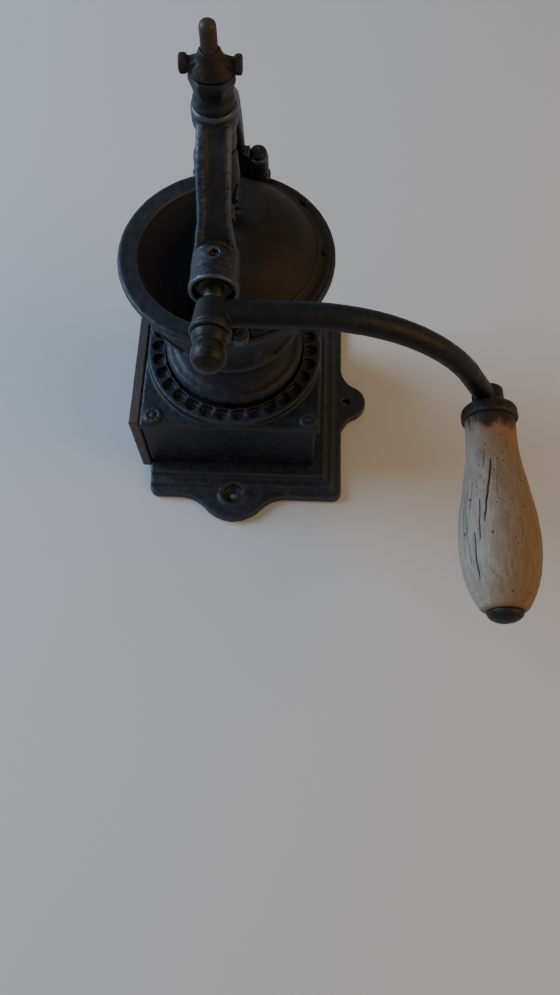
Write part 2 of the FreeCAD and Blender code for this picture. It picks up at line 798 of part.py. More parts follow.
def make_spindle():
    """Upright shaft: foot bearing, burr seat, gear seat and threaded stud."""
    shoulder = d.collar_top - 0.6
    body = lathe("spindle", [
        (0, d.spindle_bottom), (d.shaft_radius, d.spindle_bottom), (d.shaft_radius, shoulder),
        (d.stud_radius, shoulder), (d.stud_radius, d.stud_top - 1), (d.stud_radius - 0.8, d.stud_top),
        (0, d.stud_top)])
    hole = circle(new_sketch(body, "pin_hole", "XZ_Plane"), 0, crown_pin_height(), 1.0)
    pocket(body, "pin_cut", hole, 12, midplane=True)
    body.Placement = Placement(Vector(0, 0, 0), half_tooth_turn(-1))


def crown_floor():
    """Height of the crown gear's root circle above the crank shaft's axis."""
    return d.pinion_pitch + d.tooth_fall


def crown_pin_height():
    """Height of the pin that locks the crown gear to the spindle."""
    return d.crown_hub_top - 6.4


def make_crown_gear():
    """Bevel gear on the spindle with a long hub above it. Its teeth point down and taper
    towards the point where the two axes meet. It is drawn upside down and turned over."""
    body = new_body("crown_gear")
    reach = d.crown_pitch
    inner = reach - d.tooth_face
    drop = d.pinion_pitch
    scale = inner / reach
    floor = -crown_floor()
    hub_end = d.shaft_height - d.crown_hub_top
    blank = outline(new_sketch(body, "blank", "XZ_Plane"), [
        (d.shaft_radius + 0.02, hub_end), (d.crown_hub_radius - 0.6, hub_end),
        (d.crown_hub_radius, hub_end + 0.6), (reach + 0.3, floor - 2.2),
        (reach + 0.3, floor - 0.2), (inner - 0.8, floor * (scale - 0.8 / reach)),
        (d.shaft_radius + 0.02, floor * (scale - 0.8 / reach))])
    turned(body, "blank_turning", blank)
    sections = []
    for name, place, size in (("outer", reach, sized(1.0)), ("inner", inner, scale)):
        sections.append(outline(new_sketch(body, f"tooth_{name}", "YZ_Plane", place), [
            (-1.32 * size, (floor - 0.6) * size), (1.32 * size, (floor - 0.6) * size),
            (0.42 * size, (d.tooth_rise - drop) * size), (-0.42 * size, (d.tooth_rise - drop) * size)]))
    ring_of(body, "teeth", loft(body, "tooth", sections), d.crown_teeth)
    hole = circle(new_sketch(body, "pin_hole", "XZ_Plane"), 0, d.shaft_height - crown_pin_height(), 1.0)
    pocket(body, "pin_cut", hole, 20, midplane=True)
    body.Placement = Placement(Vector(0, 0, 0), Rotation(Vector(1, 0, 0), 180) * half_tooth_turn(1))
    bind(body, "Placement.Base.z", d.shaft_height)


def half_tooth_turn(sense):
    """Turn about Z that puts a gap of the crown gear where a tooth of the pinion stands."""
    return Rotation(Vector(0, 0, 1), sense * 180.0 / DIMENSIONS["crown_teeth"])


def make_pinion():
    """Bevel pinion on the crank shaft, with a tooth at its top, where the crown gear has a gap."""
    body = new_body("pinion")
    reach = d.crown_pitch
    inner = reach - d.tooth_face
    scale = inner / reach
    root = d.pinion_pitch - d.tooth_fall
    blank = outline(new_sketch(body, "blank", "XZ_Plane"), [
        (d.shaft_radius + 0.02, inner), (root * scale, inner), (root, reach),
        (root, reach + 8), (d.shaft_radius + 0.02, reach + 8)])
    turned(body, "blank_turning", blank)
    sections = []
    for name, place, size in (("outer", reach, sized(1.0)), ("inner", inner, scale)):
        tip = (d.pinion_pitch + d.tooth_rise) * size
        sections.append(outline(new_sketch(body, f"tooth_{name}", "XY_Plane", place), [
            ((root - 0.3) * size, -1.3 * size), (tip, -0.42 * size),
            (tip, 0.42 * size), ((root - 0.3) * size, 1.3 * size)]))
    ring_of(body, "teeth", loft(body, "tooth", sections), d.pinion_teeth)
    hole = circle(new_sketch(body, "pin_hole", "XZ_Plane"), 0, reach + 4.5, 1.0)
    pocket(body, "pin_cut", hole, 20, midplane=True)
    facing_crank(body)


def loft(body, name, sections):
    """A straight-sided form between two outlines."""
    item = body.newObject("PartDesign::AdditiveLoft", f"{body.Name}_{name}")
    item.Profile = sections[0]
    item.Sections = [sections[1]]
    item.Ruled = True
    return item


def make_pins():
    """Taper pins that lock each gear to its shaft."""
    half = d.crown_hub_radius - 0.2
    crown_pin = lathe("crown_gear_pin", [(0, -half), (0.97, -half), (0.97, half), (0, half)])
    crown_pin.Placement = Placement(Vector(0, 0, 0),
                                    half_tooth_turn(-1) * Rotation(Vector(1, 0, 0), 90))
    bind(crown_pin, "Placement.Base.z", crown_pin_height())
    pinion_pin = doc.addObject("Part::Cylinder", "pinion_pin")
    pinion_pin.Label = "pinion_pin"
    bind(pinion_pin, "Radius", 0.97)
    bind(pinion_pin, "Height", 13.4)
    bind(pinion_pin, "Placement.Base.y", -d.crown_pitch - 4.5)
    bind(pinion_pin, "Placement.Base.z", d.shaft_height - 6.7)
    keep(pinion_pin)


def make_burr_nut():
    """Hexagon nut that clamps the inner burr on the spindle."""
    body = new_body("burr_nut")
    corner = 7.4
    points = [(corner * math.cos(math.radians(60 * n)), corner * math.sin(math.radians(60 * n)))
              for n in range(6)]
    pad(body, "hexagon", outline(new_sketch(body, "outline"), points), 5)
    bore = circle(new_sketch(body, "bore"), 0, 0, d.shaft_radius + 0.02)
    pocket(body, "bore_cut", bore, 5, upwards=True)
    bind(body, "Placement.Base.z", d.burr_seat + 27.05)


def make_wing_nut():
    """Wing nut on the stud: conical body, two short arms and a disc at the end of each."""
    body = lathe("wing_nut", [
        (d.stud_radius + 0.06, 0), (6.6, 0), (7.0, 0.8), (7.0, 2.4), (5.2, 6.6), (3.9, 11.0),
        (d.stud_radius + 0.06, 11.0)])
    disc_inner = 9.1
    disc_outer = 11.4
    disc_height = 2.8
    arm_tip = disc_inner + 0.4
    for side, name in ((1, "right"), (-1, "left")):
        arm = outline(new_sketch(body, f"{name}_arm", "XZ_Plane"), [
            (side * 4.2, 0.3), (side * arm_tip, 0.9), (side * arm_tip, 4.4),
            (side * 4.2, 5.6, (side * 6.8, 4.3))])
        pad(body, f"{name}_arm_pad", arm, 5.4, midplane=True)
        start = disc_inner if side > 0 else -disc_outer
        disc = circle(new_sketch(body, f"{name}_disc", "YZ_Plane", sized(start)), 0, disc_height, 3.4)
        pad(body, f"{name}_disc_pad", disc, disc_outer - disc_inner)
    bind(body, "Placement.Base.z", d.collar_top)


# ---------------------------------------------------------------- crank

def make_crank_shaft():
    """Shaft from the pinion through the bush to the crank's nut."""
    end = d.nut_front - 9
    body = lathe("crank_shaft", [
        (0, d.shaft_radius + 1.2), (d.shaft_radius, d.shaft_radius + 1.2),
        (d.shaft_radius, d.hub_front), (3.4, d.hub_front), (3.4, end - 1), (2.8, end), (0, end)])
    hole = circle(new_sketch(body, "pin_hole", "XZ_Plane"), 0, d.crown_pitch + 4.5, 1.0)
    pocket(body, "pin_cut", hole, 12, midplane=True)
    facing_crank(body)


def make_crank_arm():
    """Forged crank: hub on the shaft, one long bend, and an eye for the handle's pin."""
    body = new_body("crank_arm")
    hub = circle(new_sketch(body, "hub", offset=d.hub_back), 0, 0, d.hub_radius)
    pad(body, "hub_pad", hub, d.hub_front - d.hub_back)
    angle = math.radians(DIMENSIONS["arm_turn"])
    bend_end = (d.arm_straight + d.arm_bend * math.sin(angle), d.arm_bend * (math.cos(angle) - 1))
    spine = new_sketch(body, "spine", "XY_Plane", d.arm_plane)
    first = spine.addGeometry(Part.LineSegment(flat((2, 0)), flat((d.arm_straight, 0))), False)
    half = angle / 2
    middle = (d.arm_straight + d.arm_bend * math.sin(half), d.arm_bend * (math.cos(half) - 1))
    bend = spine.addGeometry(Part.Arc(flat(bend_end), flat(middle), flat((d.arm_straight, 0))), False)
    last = spine.addGeometry(Part.LineSegment(flat(bend_end), flat((d.pin_x, -d.pin_drop))), False)
    hold(spine, point_at(first, 1, 2, 0) + point_at(first, 2, d.arm_straight, 0)
         + point_at(bend, 1, *bend_end) + point_at(last, 2, d.pin_x, -d.pin_drop)
         + [(Sketcher.Constraint("Coincident", bend, 2, first, 2), None),
            (Sketcher.Constraint("Coincident", last, 1, bend, 1), None),
            (Sketcher.Constraint("Radius", bend, d.arm_bend.value), d.arm_bend.text)])
    section = circle(new_sketch(body, "section", "YZ_Plane", 2.0), 0, d.arm_plane, d.arm_radius)
    pipe = feature(body, "AdditivePipe", "arm_pipe", section)
    pipe.Spine = spine
    eye = circle(new_sketch(body, "eye", offset=d.eye_back), d.pin_x, -d.pin_drop, d.eye_radius)
    pad(body, "eye_pad", eye, d.eye_front - d.eye_back)
    bore = circle(new_sketch(body, "bore", offset=d.hub_front), 0, 0, d.shaft_radius + 0.02)
    pocket(body, "bore_cut", bore, d.hub_front - d.hub_back + 2)
    bore = circle(new_sketch(body, "eye_bore", offset=d.eye_front), d.pin_x, -d.pin_drop, d.pin_radius)
    pocket(body, "eye_cut", bore, d.eye_front - d.eye_back)
    facing_crank(body)


def make_crank_nut():
    washer = lathe("crank_washer", [
        (3.6, d.hub_front + 0.03), (8.6, d.hub_front + 0.03), (8.6, d.hub_front + 1.8),
        (7.9, d.hub_front + 2.2), (3.6, d.hub_front + 2.2)])
    facing_crank(washer)
    back = d.hub_front + 2.25
    nut = lathe("acorn_nut", [
        (3.42, back), (d.nut_radius + 0.4, back), (d.nut_radius + 0.4, back + 1.5),
        (d.nut_radius - 0.9, back + 2.4), (d.nut_radius, back + 4),
        (d.nut_radius, back + 7),
        (3.0, d.nut_front - 1.6, (d.nut_radius - 0.9, d.nut_front - 4)),
        (0, d.nut_front), (0, d.nut_front - 8.6), (3.42, d.nut_front - 8.6)])
    facing_crank(nut)


def on_handle(item):
    """Put a piece on the handle's pin, with its own +Z towards the free end."""
    facing_crank(item, d.shaft_height - d.pin_drop)
    bind(item, "Placement.Base.x", d.pin_x)
    return item


def make_handle():
    """Fixed pin with its domed end, and the wooden grip with its ferrule that turns on it."""
    reach = d.pin_radius - 0.02
    pin = lathe("handle_pin", [
        (0, d.eye_back - 2.0), (4.6, d.eye_back - 0.9, (2.6, d.eye_back - 1.7)),
        (4.6, d.eye_back - 0.05), (reach, d.eye_back - 0.05), (reach, d.eye_front + 0.05),
        (5.6, d.eye_front + 0.05), (5.6, d.ferrule_back - 0.3), (reach, d.ferrule_back - 0.3),
        (reach, d.wood_front + 3.4), (0, d.wood_front + 3.4)])
    on_handle(pin)
    cap = lathe("handle_cap", [
        (reach + 0.04, d.wood_front + 0.3), (d.cap_radius, d.wood_front + 0.3),
        (d.cap_radius, d.wood_front + 1.2),
        (1.6, d.cap_front - 0.15, (d.cap_radius - 2.6, d.cap_front - 1.7)),
        (0, d.cap_front), (0, d.wood_front + 3.45), (reach + 0.04, d.wood_front + 3.45)])
    on_handle(cap)
    bore = d.pin_radius + d.run_gap
    grip = lathe("wood_grip", [
        (bore, d.ferrule_back + 1.4), (10.2, d.ferrule_back + 1.4), (10.2, d.ferrule_front),
        (11.9, d.ferrule_front),
        (12.2, d.waist_place + 6, (d.waist_radius, d.waist_place - 2)),
        (d.belly_radius, d.belly_place, (16.1, 0.5 * (d.waist_place + d.belly_place) + 4)),
        (10.4, d.wood_front - 0.6, (15.4, d.wood_front - 10.6)),
        (8.4, d.wood_front), (bore, d.wood_front)])
    on_handle(grip)
    ferrule = lathe("ferrule", [
        (bore, d.ferrule_back), (d.ferrule_radius - 1.6, d.ferrule_back),
        (d.ferrule_radius - 1.6, d.ferrule_back + 3, (d.ferrule_radius + 0.4, d.ferrule_back + 1.5)),
        (d.ferrule_radius - 0.8, d.ferrule_back + 4),
        (d.ferrule_radius - 0.8, d.ferrule_front - 2),
        (d.ferrule_radius - 0.5, d.ferrule_front - 0.02, (d.ferrule_radius + 0.5, d.ferrule_front - 1)),
        (10.25, d.ferrule_front - 0.02), (10.25, d.ferrule_back + 1.35), (bore, d.ferrule_back + 1.35)])
    on_handle(ferrule)


# ---------------------------------------------------------------- drawer

def make_drawer():
    """Sheet-metal tray behind a thick cast front, with a small knob."""
    body = new_body("drawer_tray")
    left = 0.05 - d.front_inner
    tray = rectangle(new_sketch(body, "outline", offset=d.tray_floor),
                     left, -d.tray_half, d.tray_back, d.tray_half)
    pad(body, "block", tray, d.tray_top - d.tray_floor)
    soften(body, "corners", 4.0, lambda e: e.BoundBox.ZLength > 20 and e.BoundBox.XMin > 30)
    inside = d.tray_half - d.sheet_thick
    hollow = rectangle(new_sketch(body, "hollow", offset=d.tray_top),
                       left + d.sheet_thick, -inside, d.tray_back - d.sheet_thick, inside)
    pocket(body, "hollow_cut", hollow, d.tray_top - d.tray_floor - d.sheet_thick)
    holes = new_sketch(body, "rivets", "YZ_Plane", left)
    for y, z in drawer_rivets():
        circle(holes, y, z, 1.6)
    pocket(body, "rivet_cut", holes, 4, upwards=True)
    front = new_body("drawer_front")
    plate = rectangle(new_sketch(front, "outline", "YZ_Plane", -d.front_outer),
                      -d.front_half, d.front_bottom, d.front_half, d.front_top)
    pad(front, "plate", plate, d.front_outer - d.front_inner)
    soften(front, "lower_corners", 4.0,
           lambda e: e.BoundBox.XLength > 4 and e.BoundBox.ZMax < d.front_bottom.value + 0.1)
    panel = rectangle(new_sketch(front, "panel", "YZ_Plane", -d.front_outer),
                      7 - d.front_half, d.front_bottom + 7, d.front_half - 7, d.front_top - 7)
    pocket(front, "panel_cut", panel, 1.2, upwards=True)
    holes = new_sketch(front, "rivets", "YZ_Plane", -d.front_inner)
    for y, z in drawer_rivets():
        circle(holes, y, z, 1.6)
    pocket(front, "rivet_cut", holes, 3)
    stem = circle(new_sketch(front, "stem", "YZ_Plane", -d.front_outer), 0, d.knob_height, 2.0)
    pocket(front, "stem_cut", stem, 6, upwards=True)
    knob = lathe("drawer_knob", [
        (0, -3.9), (1.96, -3.9), (1.96, 1.25), (2.6, 1.25), (2.6, 3.0),
        (d.knob_radius, 4.6, (d.knob_radius - 1.6, 3.2)),
        (1.2, 7.3, (d.knob_radius - 1.7, 6.6)), (0, 7.4)])
    knob.Placement = Placement(Vector(0, 0, 0), Rotation(Vector(0, 1, 0), -90))
    bind(knob, "Placement.Base.x", 1.2 - d.front_outer + 0.05)
    bind(knob, "Placement.Base.z", d.knob_height)


def drawer_rivets():
    """Rivets that hold the tray to its front, as places across the drawer and heights."""
    return tuple((y, z) for y in (-26, 26) for z in (17, 35))


def make_drawer_rivets():
    rivets = []
    for n, (y, z) in enumerate(drawer_rivets(), start=1):
        shank = doc.addObject("Part::Cylinder", f"drawer_rivet_shank_{n}")
        bind(shank, "Radius", 1.56)
        bind(shank, "Height", 4.37)
        head = doc.addObject("Part::Cone", f"drawer_rivet_head_{n}")
        bind(head, "Radius1", 2.8)
        bind(head, "Radius2", 1.8)
        bind(head, "Height", 1.2)
        for item, start in ((shank, -d.front_inner - 2.9), (head, d.sheet_thick + 0.07 - d.front_inner)):
            item.Placement = Placement(Vector(0, y, z), Rotation(Vector(0, 1, 0), 90))
            bind(item, "Placement.Base.x", start)
        rivets.append(fuse(f"drawer_rivet_{n}", shank, head))
    group("drawer_rivets", rivets)


# ---------------------------------------------------------------- assembly

def check(items):
    """Stop before anything is written if a feature failed or a piece is broken."""
    failed = [item.Label for item in doc.Objects if {"Invalid", "Error"} & set(item.State)]
    if failed:
        raise RuntimeError(f"failed features: {failed}")
    for item in items:
        if item.Shape.isNull() or not item.Shape.isValid():
            raise RuntimeError(f"{item.Label} has no valid shape")
        box = item.Shape.BoundBox
        spans = ((box.XMin, box.XMax), (box.YMin, box.YMax), (box.ZMin, box.ZMax))
        text = "  ".join(f"{low:.1f}..{high:.1f}" for low, high in spans)
        print(f"{item.Label:20} {len(item.Shape.Solids)} solid  {item.Shape.Volume:9.0f} mm3  {text}")


def main():
    make_foot_plate()
    make_box()
    make_box_fasteners()
    make_bearing_bar()
    make_hopper()
    make_outer_burr()
    make_inner_burr()
    make_bridge()
    make_bridge_fasteners()
    make_hood()
    make_bushes()
    make_spindle()
    make_crown_gear()
    make_pinion()
    make_pins()
    make_burr_nut()
    make_wing_nut()
    make_crank_shaft()
    make_crank_arm()
    make_crank_nut()
    make_handle()
    make_drawer()
    make_drawer_rivets()
    doc.recompute()
    check(parts)
    os.makedirs("parts", exist_ok=True)
    for item in parts:
        item.Shape.exportStep(f"parts/{item.Label}.step")


main()
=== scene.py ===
"""Looks of the antique coffee mill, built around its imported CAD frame.

Sizes are in millimetres until a mesh is made; camera, floor and lights are in metres.
"""

import math

import bmesh
import bpy
import numpy as np
from mathutils import Matrix, Vector


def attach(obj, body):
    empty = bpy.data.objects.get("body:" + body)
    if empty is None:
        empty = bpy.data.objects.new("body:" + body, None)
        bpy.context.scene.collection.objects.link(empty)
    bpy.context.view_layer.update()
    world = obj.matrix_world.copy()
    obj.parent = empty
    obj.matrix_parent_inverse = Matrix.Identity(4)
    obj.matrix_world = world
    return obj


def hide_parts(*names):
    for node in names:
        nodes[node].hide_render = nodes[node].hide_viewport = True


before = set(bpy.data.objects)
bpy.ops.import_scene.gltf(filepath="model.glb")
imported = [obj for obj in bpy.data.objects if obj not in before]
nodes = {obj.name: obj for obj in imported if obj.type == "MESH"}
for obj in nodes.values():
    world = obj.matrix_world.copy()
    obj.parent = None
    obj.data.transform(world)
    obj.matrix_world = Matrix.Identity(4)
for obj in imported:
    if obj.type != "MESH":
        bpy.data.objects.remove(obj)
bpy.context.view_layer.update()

MM = 0.001
AXIS = 177.0  # height of the crank shaft
PIN_X, PIN_Z = 123.6, 118.0  # the handle's pin
SPINDLE_BORE = 6.6  # radius left free for the spindle's bush in the bridge
STUD_R, STUD_TOP = 3.1, 254.0
STUD_BORE = 3.2  # radius of the hole in the wing nut
LUG_X, LUG_Y = 13.2, 46.2  # the bridge's back screws, one on each side
HUGE = 1e3  # farther than anything on the mill
ON_AXIS = 1e-4  # smallest radius, so that a turned form's tip stays a ring


# ---------------------------------------------------------------- mesh tools

def new_piece(name, verts, faces):
    """A mesh object from points in millimetres."""
    mesh = bpy.data.meshes.new(name)
    mesh.from_pydata([tuple(c * MM for c in v) for v in verts], [], faces)
    mesh.update()
    piece = bpy.data.objects.new(name, mesh)
    bpy.context.scene.collection.objects.link(piece)
    return piece


def tidy_normals(piece):
    """Welds points that meet and turns every face outwards."""
    bm = bmesh.new()
    bm.from_mesh(piece.data)
    bmesh.ops.remove_doubles(bm, verts=bm.verts, dist=2e-6)
    bmesh.ops.recalc_face_normals(bm, faces=bm.faces)
    bm.to_mesh(piece.data)
    bm.free()
    piece.data.update()
    return piece


def rounded(points, radius, steps=None):
    """The outline with its corners rounded; a point may carry its own radius as a third number."""
    most = 0.48  # share of a side that one corner may take
    least, flat = 0.02, 3.1  # a smaller cut, or a corner nearly straight, is left as it is
    step_angle = 0.3
    result = []
    count = len(points)
    for i, point in enumerate(points):
        here = np.array(point[:2], float)
        r = point[2] if len(point) > 2 else radius
        before = np.array(points[i - 1][:2], float) - here
        after = np.array(points[(i + 1) % count][:2], float) - here
        lb, la = np.linalg.norm(before), np.linalg.norm(after)
        before, after = before / lb, after / la
        turn = math.acos(max(-1, min(1, float(before @ after))))
        cut = min(r / max(math.tan(turn / 2), 1e-6), most * lb, most * la)
        if not steps and (cut < least or turn > flat):
            result.append(tuple(here))
            continue
        arc_steps = steps or max(2, int((math.pi - turn) / step_angle) + 1)
        for k in range(arc_steps + 1):
            t = k / arc_steps
            result.append(tuple(here + before * cut * (1 - t) ** 2 + after * cut * t ** 2))
    return result


def loft_rings(name, rings, cap=True, closed=False):
    """A skin over rings of equally many points."""
    n = len(rings[0])
    verts = [tuple(v) for ring in rings for v in ring]
    faces = []
    last = len(rings) if closed else len(rings) - 1
    for i in range(last):
        a, b = i * n, ((i + 1) % len(rings)) * n
        for k in range(n):
            m = (k + 1) % n
            faces.append((a + k, a + m, b + m, b + k))
    if cap and not closed:
        faces.append(tuple(range(n)))
        faces.append(tuple((len(rings) - 1) * n + k for k in range(n)))
    return tidy_normals(new_piece(name, verts, faces))


def ring_of(steps, radius, height):
    """Points round the upright axis; radius and height may each be a function of the angle."""
    ring = []
    for k in range(steps):
        angle = 2 * math.pi * k / steps
        r = max(radius(angle) if callable(radius) else radius, ON_AXIS)
        h = height(angle) if callable(height) else height
        ring.append((r * math.cos(angle), r * math.sin(angle), h))
    return ring


def lathe(name, profile, steps=96, place=None):
    """A turned form from (radius, height) points; open ends sit on the axis, else the loop is closed."""
    rings = [ring_of(steps, r, h) for r, h in profile]
    on_axis = profile[0][0] <= 0 and profile[-1][0] <= 0
    piece = loft_rings(name, rings, cap=on_axis, closed=not on_axis)
    return moved(piece, place) if place else piece


def bore(radius, low, high):
    """A round cutter on the upright axis."""
    return lathe("bore", [(0, low), (radius, low), (radius, high), (0, high)])


def moved(piece, how):
    """The piece after the matrix has been applied to its mesh."""
    piece.data.transform(how)
    piece.data.update()
    return piece


def shift(x=0.0, y=0.0, z=0.0):
    """The matrix of a move by so many millimetres."""
    return Matrix.Translation(Vector((x, y, z)) * MM)


def crank_side(z=AXIS, x=0.0):
    """Takes a form made along +Z to the crank's side, where its +Z points to the front."""
    return shift(x, 0, z) @ Matrix.Rotation(math.radians(90), 4, "X")


ON_SHAFT = crank_side()
ON_PIN = crank_side(PIN_Z, PIN_X)


def prism(name, outline, low, high, place=None):
    """A straight-sided form from an outline in XY between two heights."""
    piece = loft_rings(name, [[(x, y, low) for x, y in outline], [(x, y, high) for x, y in outline]])
    return moved(piece, place) if place else piece


# takes a prism whose outline is (y, z) and whose thickness runs along x
SIDEWAYS = Matrix(((0, 0, 1, 0), (1, 0, 0, 0), (0, 1, 0, 0), (0, 0, 0, 1)))


def swept(name, path, section, side=(1, 0, 0)):
    """A form along a path of points; section(t) gives (across, up) points in the plane square to it."""
    path = [np.array(p, float) for p in path]
    side = np.array(side, float)
    lengths = [0.0]
    for a, b in zip(path, path[1:]):
        lengths.append(lengths[-1] + np.linalg.norm(b - a))
    rings = []
    for i, p in enumerate(path):
        along = path[min(i + 1, len(path) - 1)] - path[max(i - 1, 0)]
        along /= np.linalg.norm(along)
        across = side - along * (along @ side)
        across /= np.linalg.norm(across)
        up = np.cross(along, across)
        rings.append([tuple(p + across * u + up * v) for u, v in section(lengths[i] / lengths[-1])])
    return loft_rings(name, rings)


def smooth_path(points, steps):
    """Catmull-Rom points through the given ones."""
    pts = [np.array(p, float) for p in points]
    pts = [2 * pts[0] - pts[1]] + pts + [2 * pts[-1] - pts[-2]]
    out = []
    for i in range(1, len(pts) - 2):
        p0, p1, p2, p3 = pts[i - 1:i + 3]
        for k in range(steps):
            t = k / steps
            out.append(0.5 * (2 * p1 + (p2 - p0) * t + (2 * p0 - 5 * p1 + 4 * p2 - p3) * t ** 2
                              + (3 * p1 - p0 - 3 * p2 + p3) * t ** 3))
    out.append(pts[-2])
    return out


def joined(name, pieces):
    """The pieces as one object of this name."""
    bpy.ops.object.select_all(action="DESELECT")
    for p in pieces:
        p.select_set(True)
    bpy.context.view_layer.objects.active = pieces[0]
    if len(pieces) > 1:
        bpy.ops.object.join()
    piece = bpy.context.view_layer.objects.active
    piece.name = name
    piece.data.name = name
    return piece


def apply_modifiers(piece):
    """Replaces the mesh by what its modifiers make of it."""
    bpy.context.view_layer.update()
    graph = bpy.context.evaluated_depsgraph_get()
    mesh = bpy.data.meshes.new_from_object(piece.evaluated_get(graph))
    old = piece.data
    piece.modifiers.clear()
    piece.data = mesh
    mesh.name = piece.name
    bpy.data.meshes.remove(old)
    return piece


def remeshed(piece, voxel, relax=2):
    """One closed skin over everything in the piece, with its edges softened as on a casting."""
    mod = piece.modifiers.new("skin", "REMESH")
    mod.mode = "VOXEL"
    mod.voxel_size = voxel * MM
    if relax:
        soft = piece.modifiers.new("relax", "SMOOTH")
        soft.factor = 0.5
        soft.iterations = relax
    return apply_modifiers(piece)


def cut_away(piece, *cutters):
    """The piece without the room the cutters take up; the cutters are used up."""
    for cutter in cutters:
        mod = piece.modifiers.new("cut", "BOOLEAN")
        mod.operation = "DIFFERENCE"
        mod.solver = "EXACT"
        mod.object = cutter
        apply_modifiers(piece)
        bpy.data.objects.remove(cutter)
    return piece


def rough_cast(piece, size, height):
    """Raises and sinks the skin a little, as sand casting leaves it."""
    texture = bpy.data.textures.new(piece.name + "_cast", "CLOUDS")
    texture.noise_scale = size * MM
    texture.noise_depth = 3
    mod = piece.modifiers.new("cast", "DISPLACE")
    mod.texture = texture
    mod.texture_coords = "LOCAL"
    mod.strength = height * MM
    mod.mid_level = 0.5
    return apply_modifiers(piece)


def read_points(piece, field):
    """A vector that each point of the mesh carries, one row for a point."""
    flat = np.empty(len(piece.data.vertices) * 3, np.float32)
    piece.data.vertices.foreach_get(field, flat)
    return flat.reshape(-1, 3)


def write_values(piece, name, values):
    """A number for each point, which the materials read by this name."""
    layer = piece.data.attributes.new(name, "FLOAT", "POINT")
    layer.data.foreach_set("value", values.astype(np.float32))


def mark_edges(piece, spread=3):
    """Writes each point's bend for wear and dirt: +1 on a sharp edge, -1 in a sharp hollow."""
    mesh = piece.data
    n = len(mesh.vertices)
    co = read_points(piece, "co").astype(float) / MM
    no = read_points(piece, "normal")
    pairs = np.empty(len(mesh.edges) * 2, np.int32)
    mesh.edges.foreach_get("vertices", pairs)
    a, b = pairs.reshape(-1, 2).T
    degree = np.maximum(np.bincount(a, minlength=n) + np.bincount(b, minlength=n), 1)

    def around(values):
        return (np.bincount(a, values[b], n) + np.bincount(b, values[a], n)) / degree

    mean = np.stack([around(co[:, i]) for i in range(3)], 1)
    length = np.linalg.norm(co[a] - co[b], axis=1)
    square = np.maximum((np.bincount(a, length ** 2, n) + np.bincount(b, length ** 2, n)) / degree, 1e-6)
    bend = -4 * np.einsum("ij,ij->i", mean - co, no) / square
    for _ in range(spread):
        bend = 0.5 * bend + 0.5 * around(bend)
    write_values(piece, "edge", np.clip(bend, -1, 1))


def mark_inside(piece):
    """Writes how far each point faces the upright axis, for the painted light inside the bowl: a paler tone
    on its inner faces.
    """
    place, facing = read_points(piece, "co")[:, :2], read_points(piece, "normal")[:, :2]
    outward = place / np.maximum(np.linalg.norm(place, axis=1), 1e-6)[:, None]
    inward = -np.einsum("ij,ij->i", outward, facing)
    write_values(piece, "dust_and_painted_light", np.clip((inward - 0.2) / 0.3, 0, 1))


def mark_rim(piece):
    """Writes how far each point faces away from X, for the rubbed rim of the drawer's front."""
    flat = np.abs(read_points(piece, "normal")[:, 0])
    write_values(piece, "dust_and_painted_light", np.clip((0.8 - flat) / 0.4, 0, 1))


def smooth_shaded(piece, angle=None):
    """Smooth shading, broken where faces meet at more than the angle in degrees, if one is given."""
    mesh = piece.data
    mesh.polygons.foreach_set("use_smooth", [True] * len(mesh.polygons))
    if angle:
        mesh.set_sharp_from_angle(angle=math.radians(angle))


def copy_of(name):
    """A CAD node's shape as a new piece, welded."""
    piece = bpy.data.objects.new(name + "_look", nodes[name].data.copy())
    piece.data.materials.clear()
    bpy.context.scene.collection.objects.link(piece)
    return tidy_normals(piece)


def finished(piece, body, slot_name, material, *replaced):
    """The piece in its material, on its body, in the place of the CAD nodes named; the slot's name is not
    used.
    """
    piece.data.materials.clear()
    piece.data.materials.append(material)
    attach(piece, body)
    if replaced:
        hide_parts(*replaced)
    return piece


# ---------------------------------------------------------------- materials

def shader(name):
    """A new material and the call that adds nodes to it."""
    material = bpy.data.materials.new(name)
    material.use_nodes = True
    tree = material.node_tree
    tree.nodes.clear()

    def add(kind, inputs=None, **settings):
        node = tree.nodes.new("ShaderNode" + kind)
        for key, value in settings.items():
            setattr(node, key, value)
        for key, value in (inputs or {}).items():
            if isinstance(value, bpy.types.NodeSocket):
                tree.links.new(value, node.inputs[key])
            else:
                node.inputs[key].default_value = value
        return node

    return material, add


def maths(add, operation, a, b=0.0, clamp=False):
    return add("Math", {0: a, 1: b}, operation=operation, use_clamp=clamp).outputs[0]


def added(add, a, b, clamp=False):
    return maths(add, "ADD", a, b, clamp)


def less(add, a, b, clamp=False):
    return maths(add, "SUBTRACT", a, b, clamp)


def times(add, a, b):
    return maths(add, "MULTIPLY", a, b)


def noise(add, place, size_mm, detail, rough=0.55, stretch=None):
    """A 0 to 1 noise whose largest blobs are about size_mm across."""
    if stretch:
        place = add("Mapping", {"Vector": place, "Scale": stretch}).outputs[0]
    node = add("TexNoise", {"Vector": place, "Scale": 1 / (size_mm * MM), "Detail": detail,
                            "Roughness": rough})
    return node.outputs["Fac"]


def between(add, value, low, high, to_low=0.0, to_high=1.0):
    """The value's way from low to high, eased, as a number from to_low to to_high."""
    node = add("MapRange", {"Value": value, "From Min": low, "From Max": high, "To Min": to_low,
                            "To Max": to_high}, interpolation_type="SMOOTHSTEP")
    return node.outputs["Result"]


def blend(add, factor, a, b):
    """Colour a where the factor is 0, colour b where it is 1."""
    node = add("Mix", data_type="RGBA")
    for socket, value in ((0, factor), (6, a), (7, b)):
        if isinstance(value, bpy.types.NodeSocket):
            node.id_data.links.new(value, node.inputs[socket])
        elif socket:
            node.inputs[socket].default_value = (*value, 1)
        else:
            node.inputs[socket].default_value = value
    return node.outputs[2]


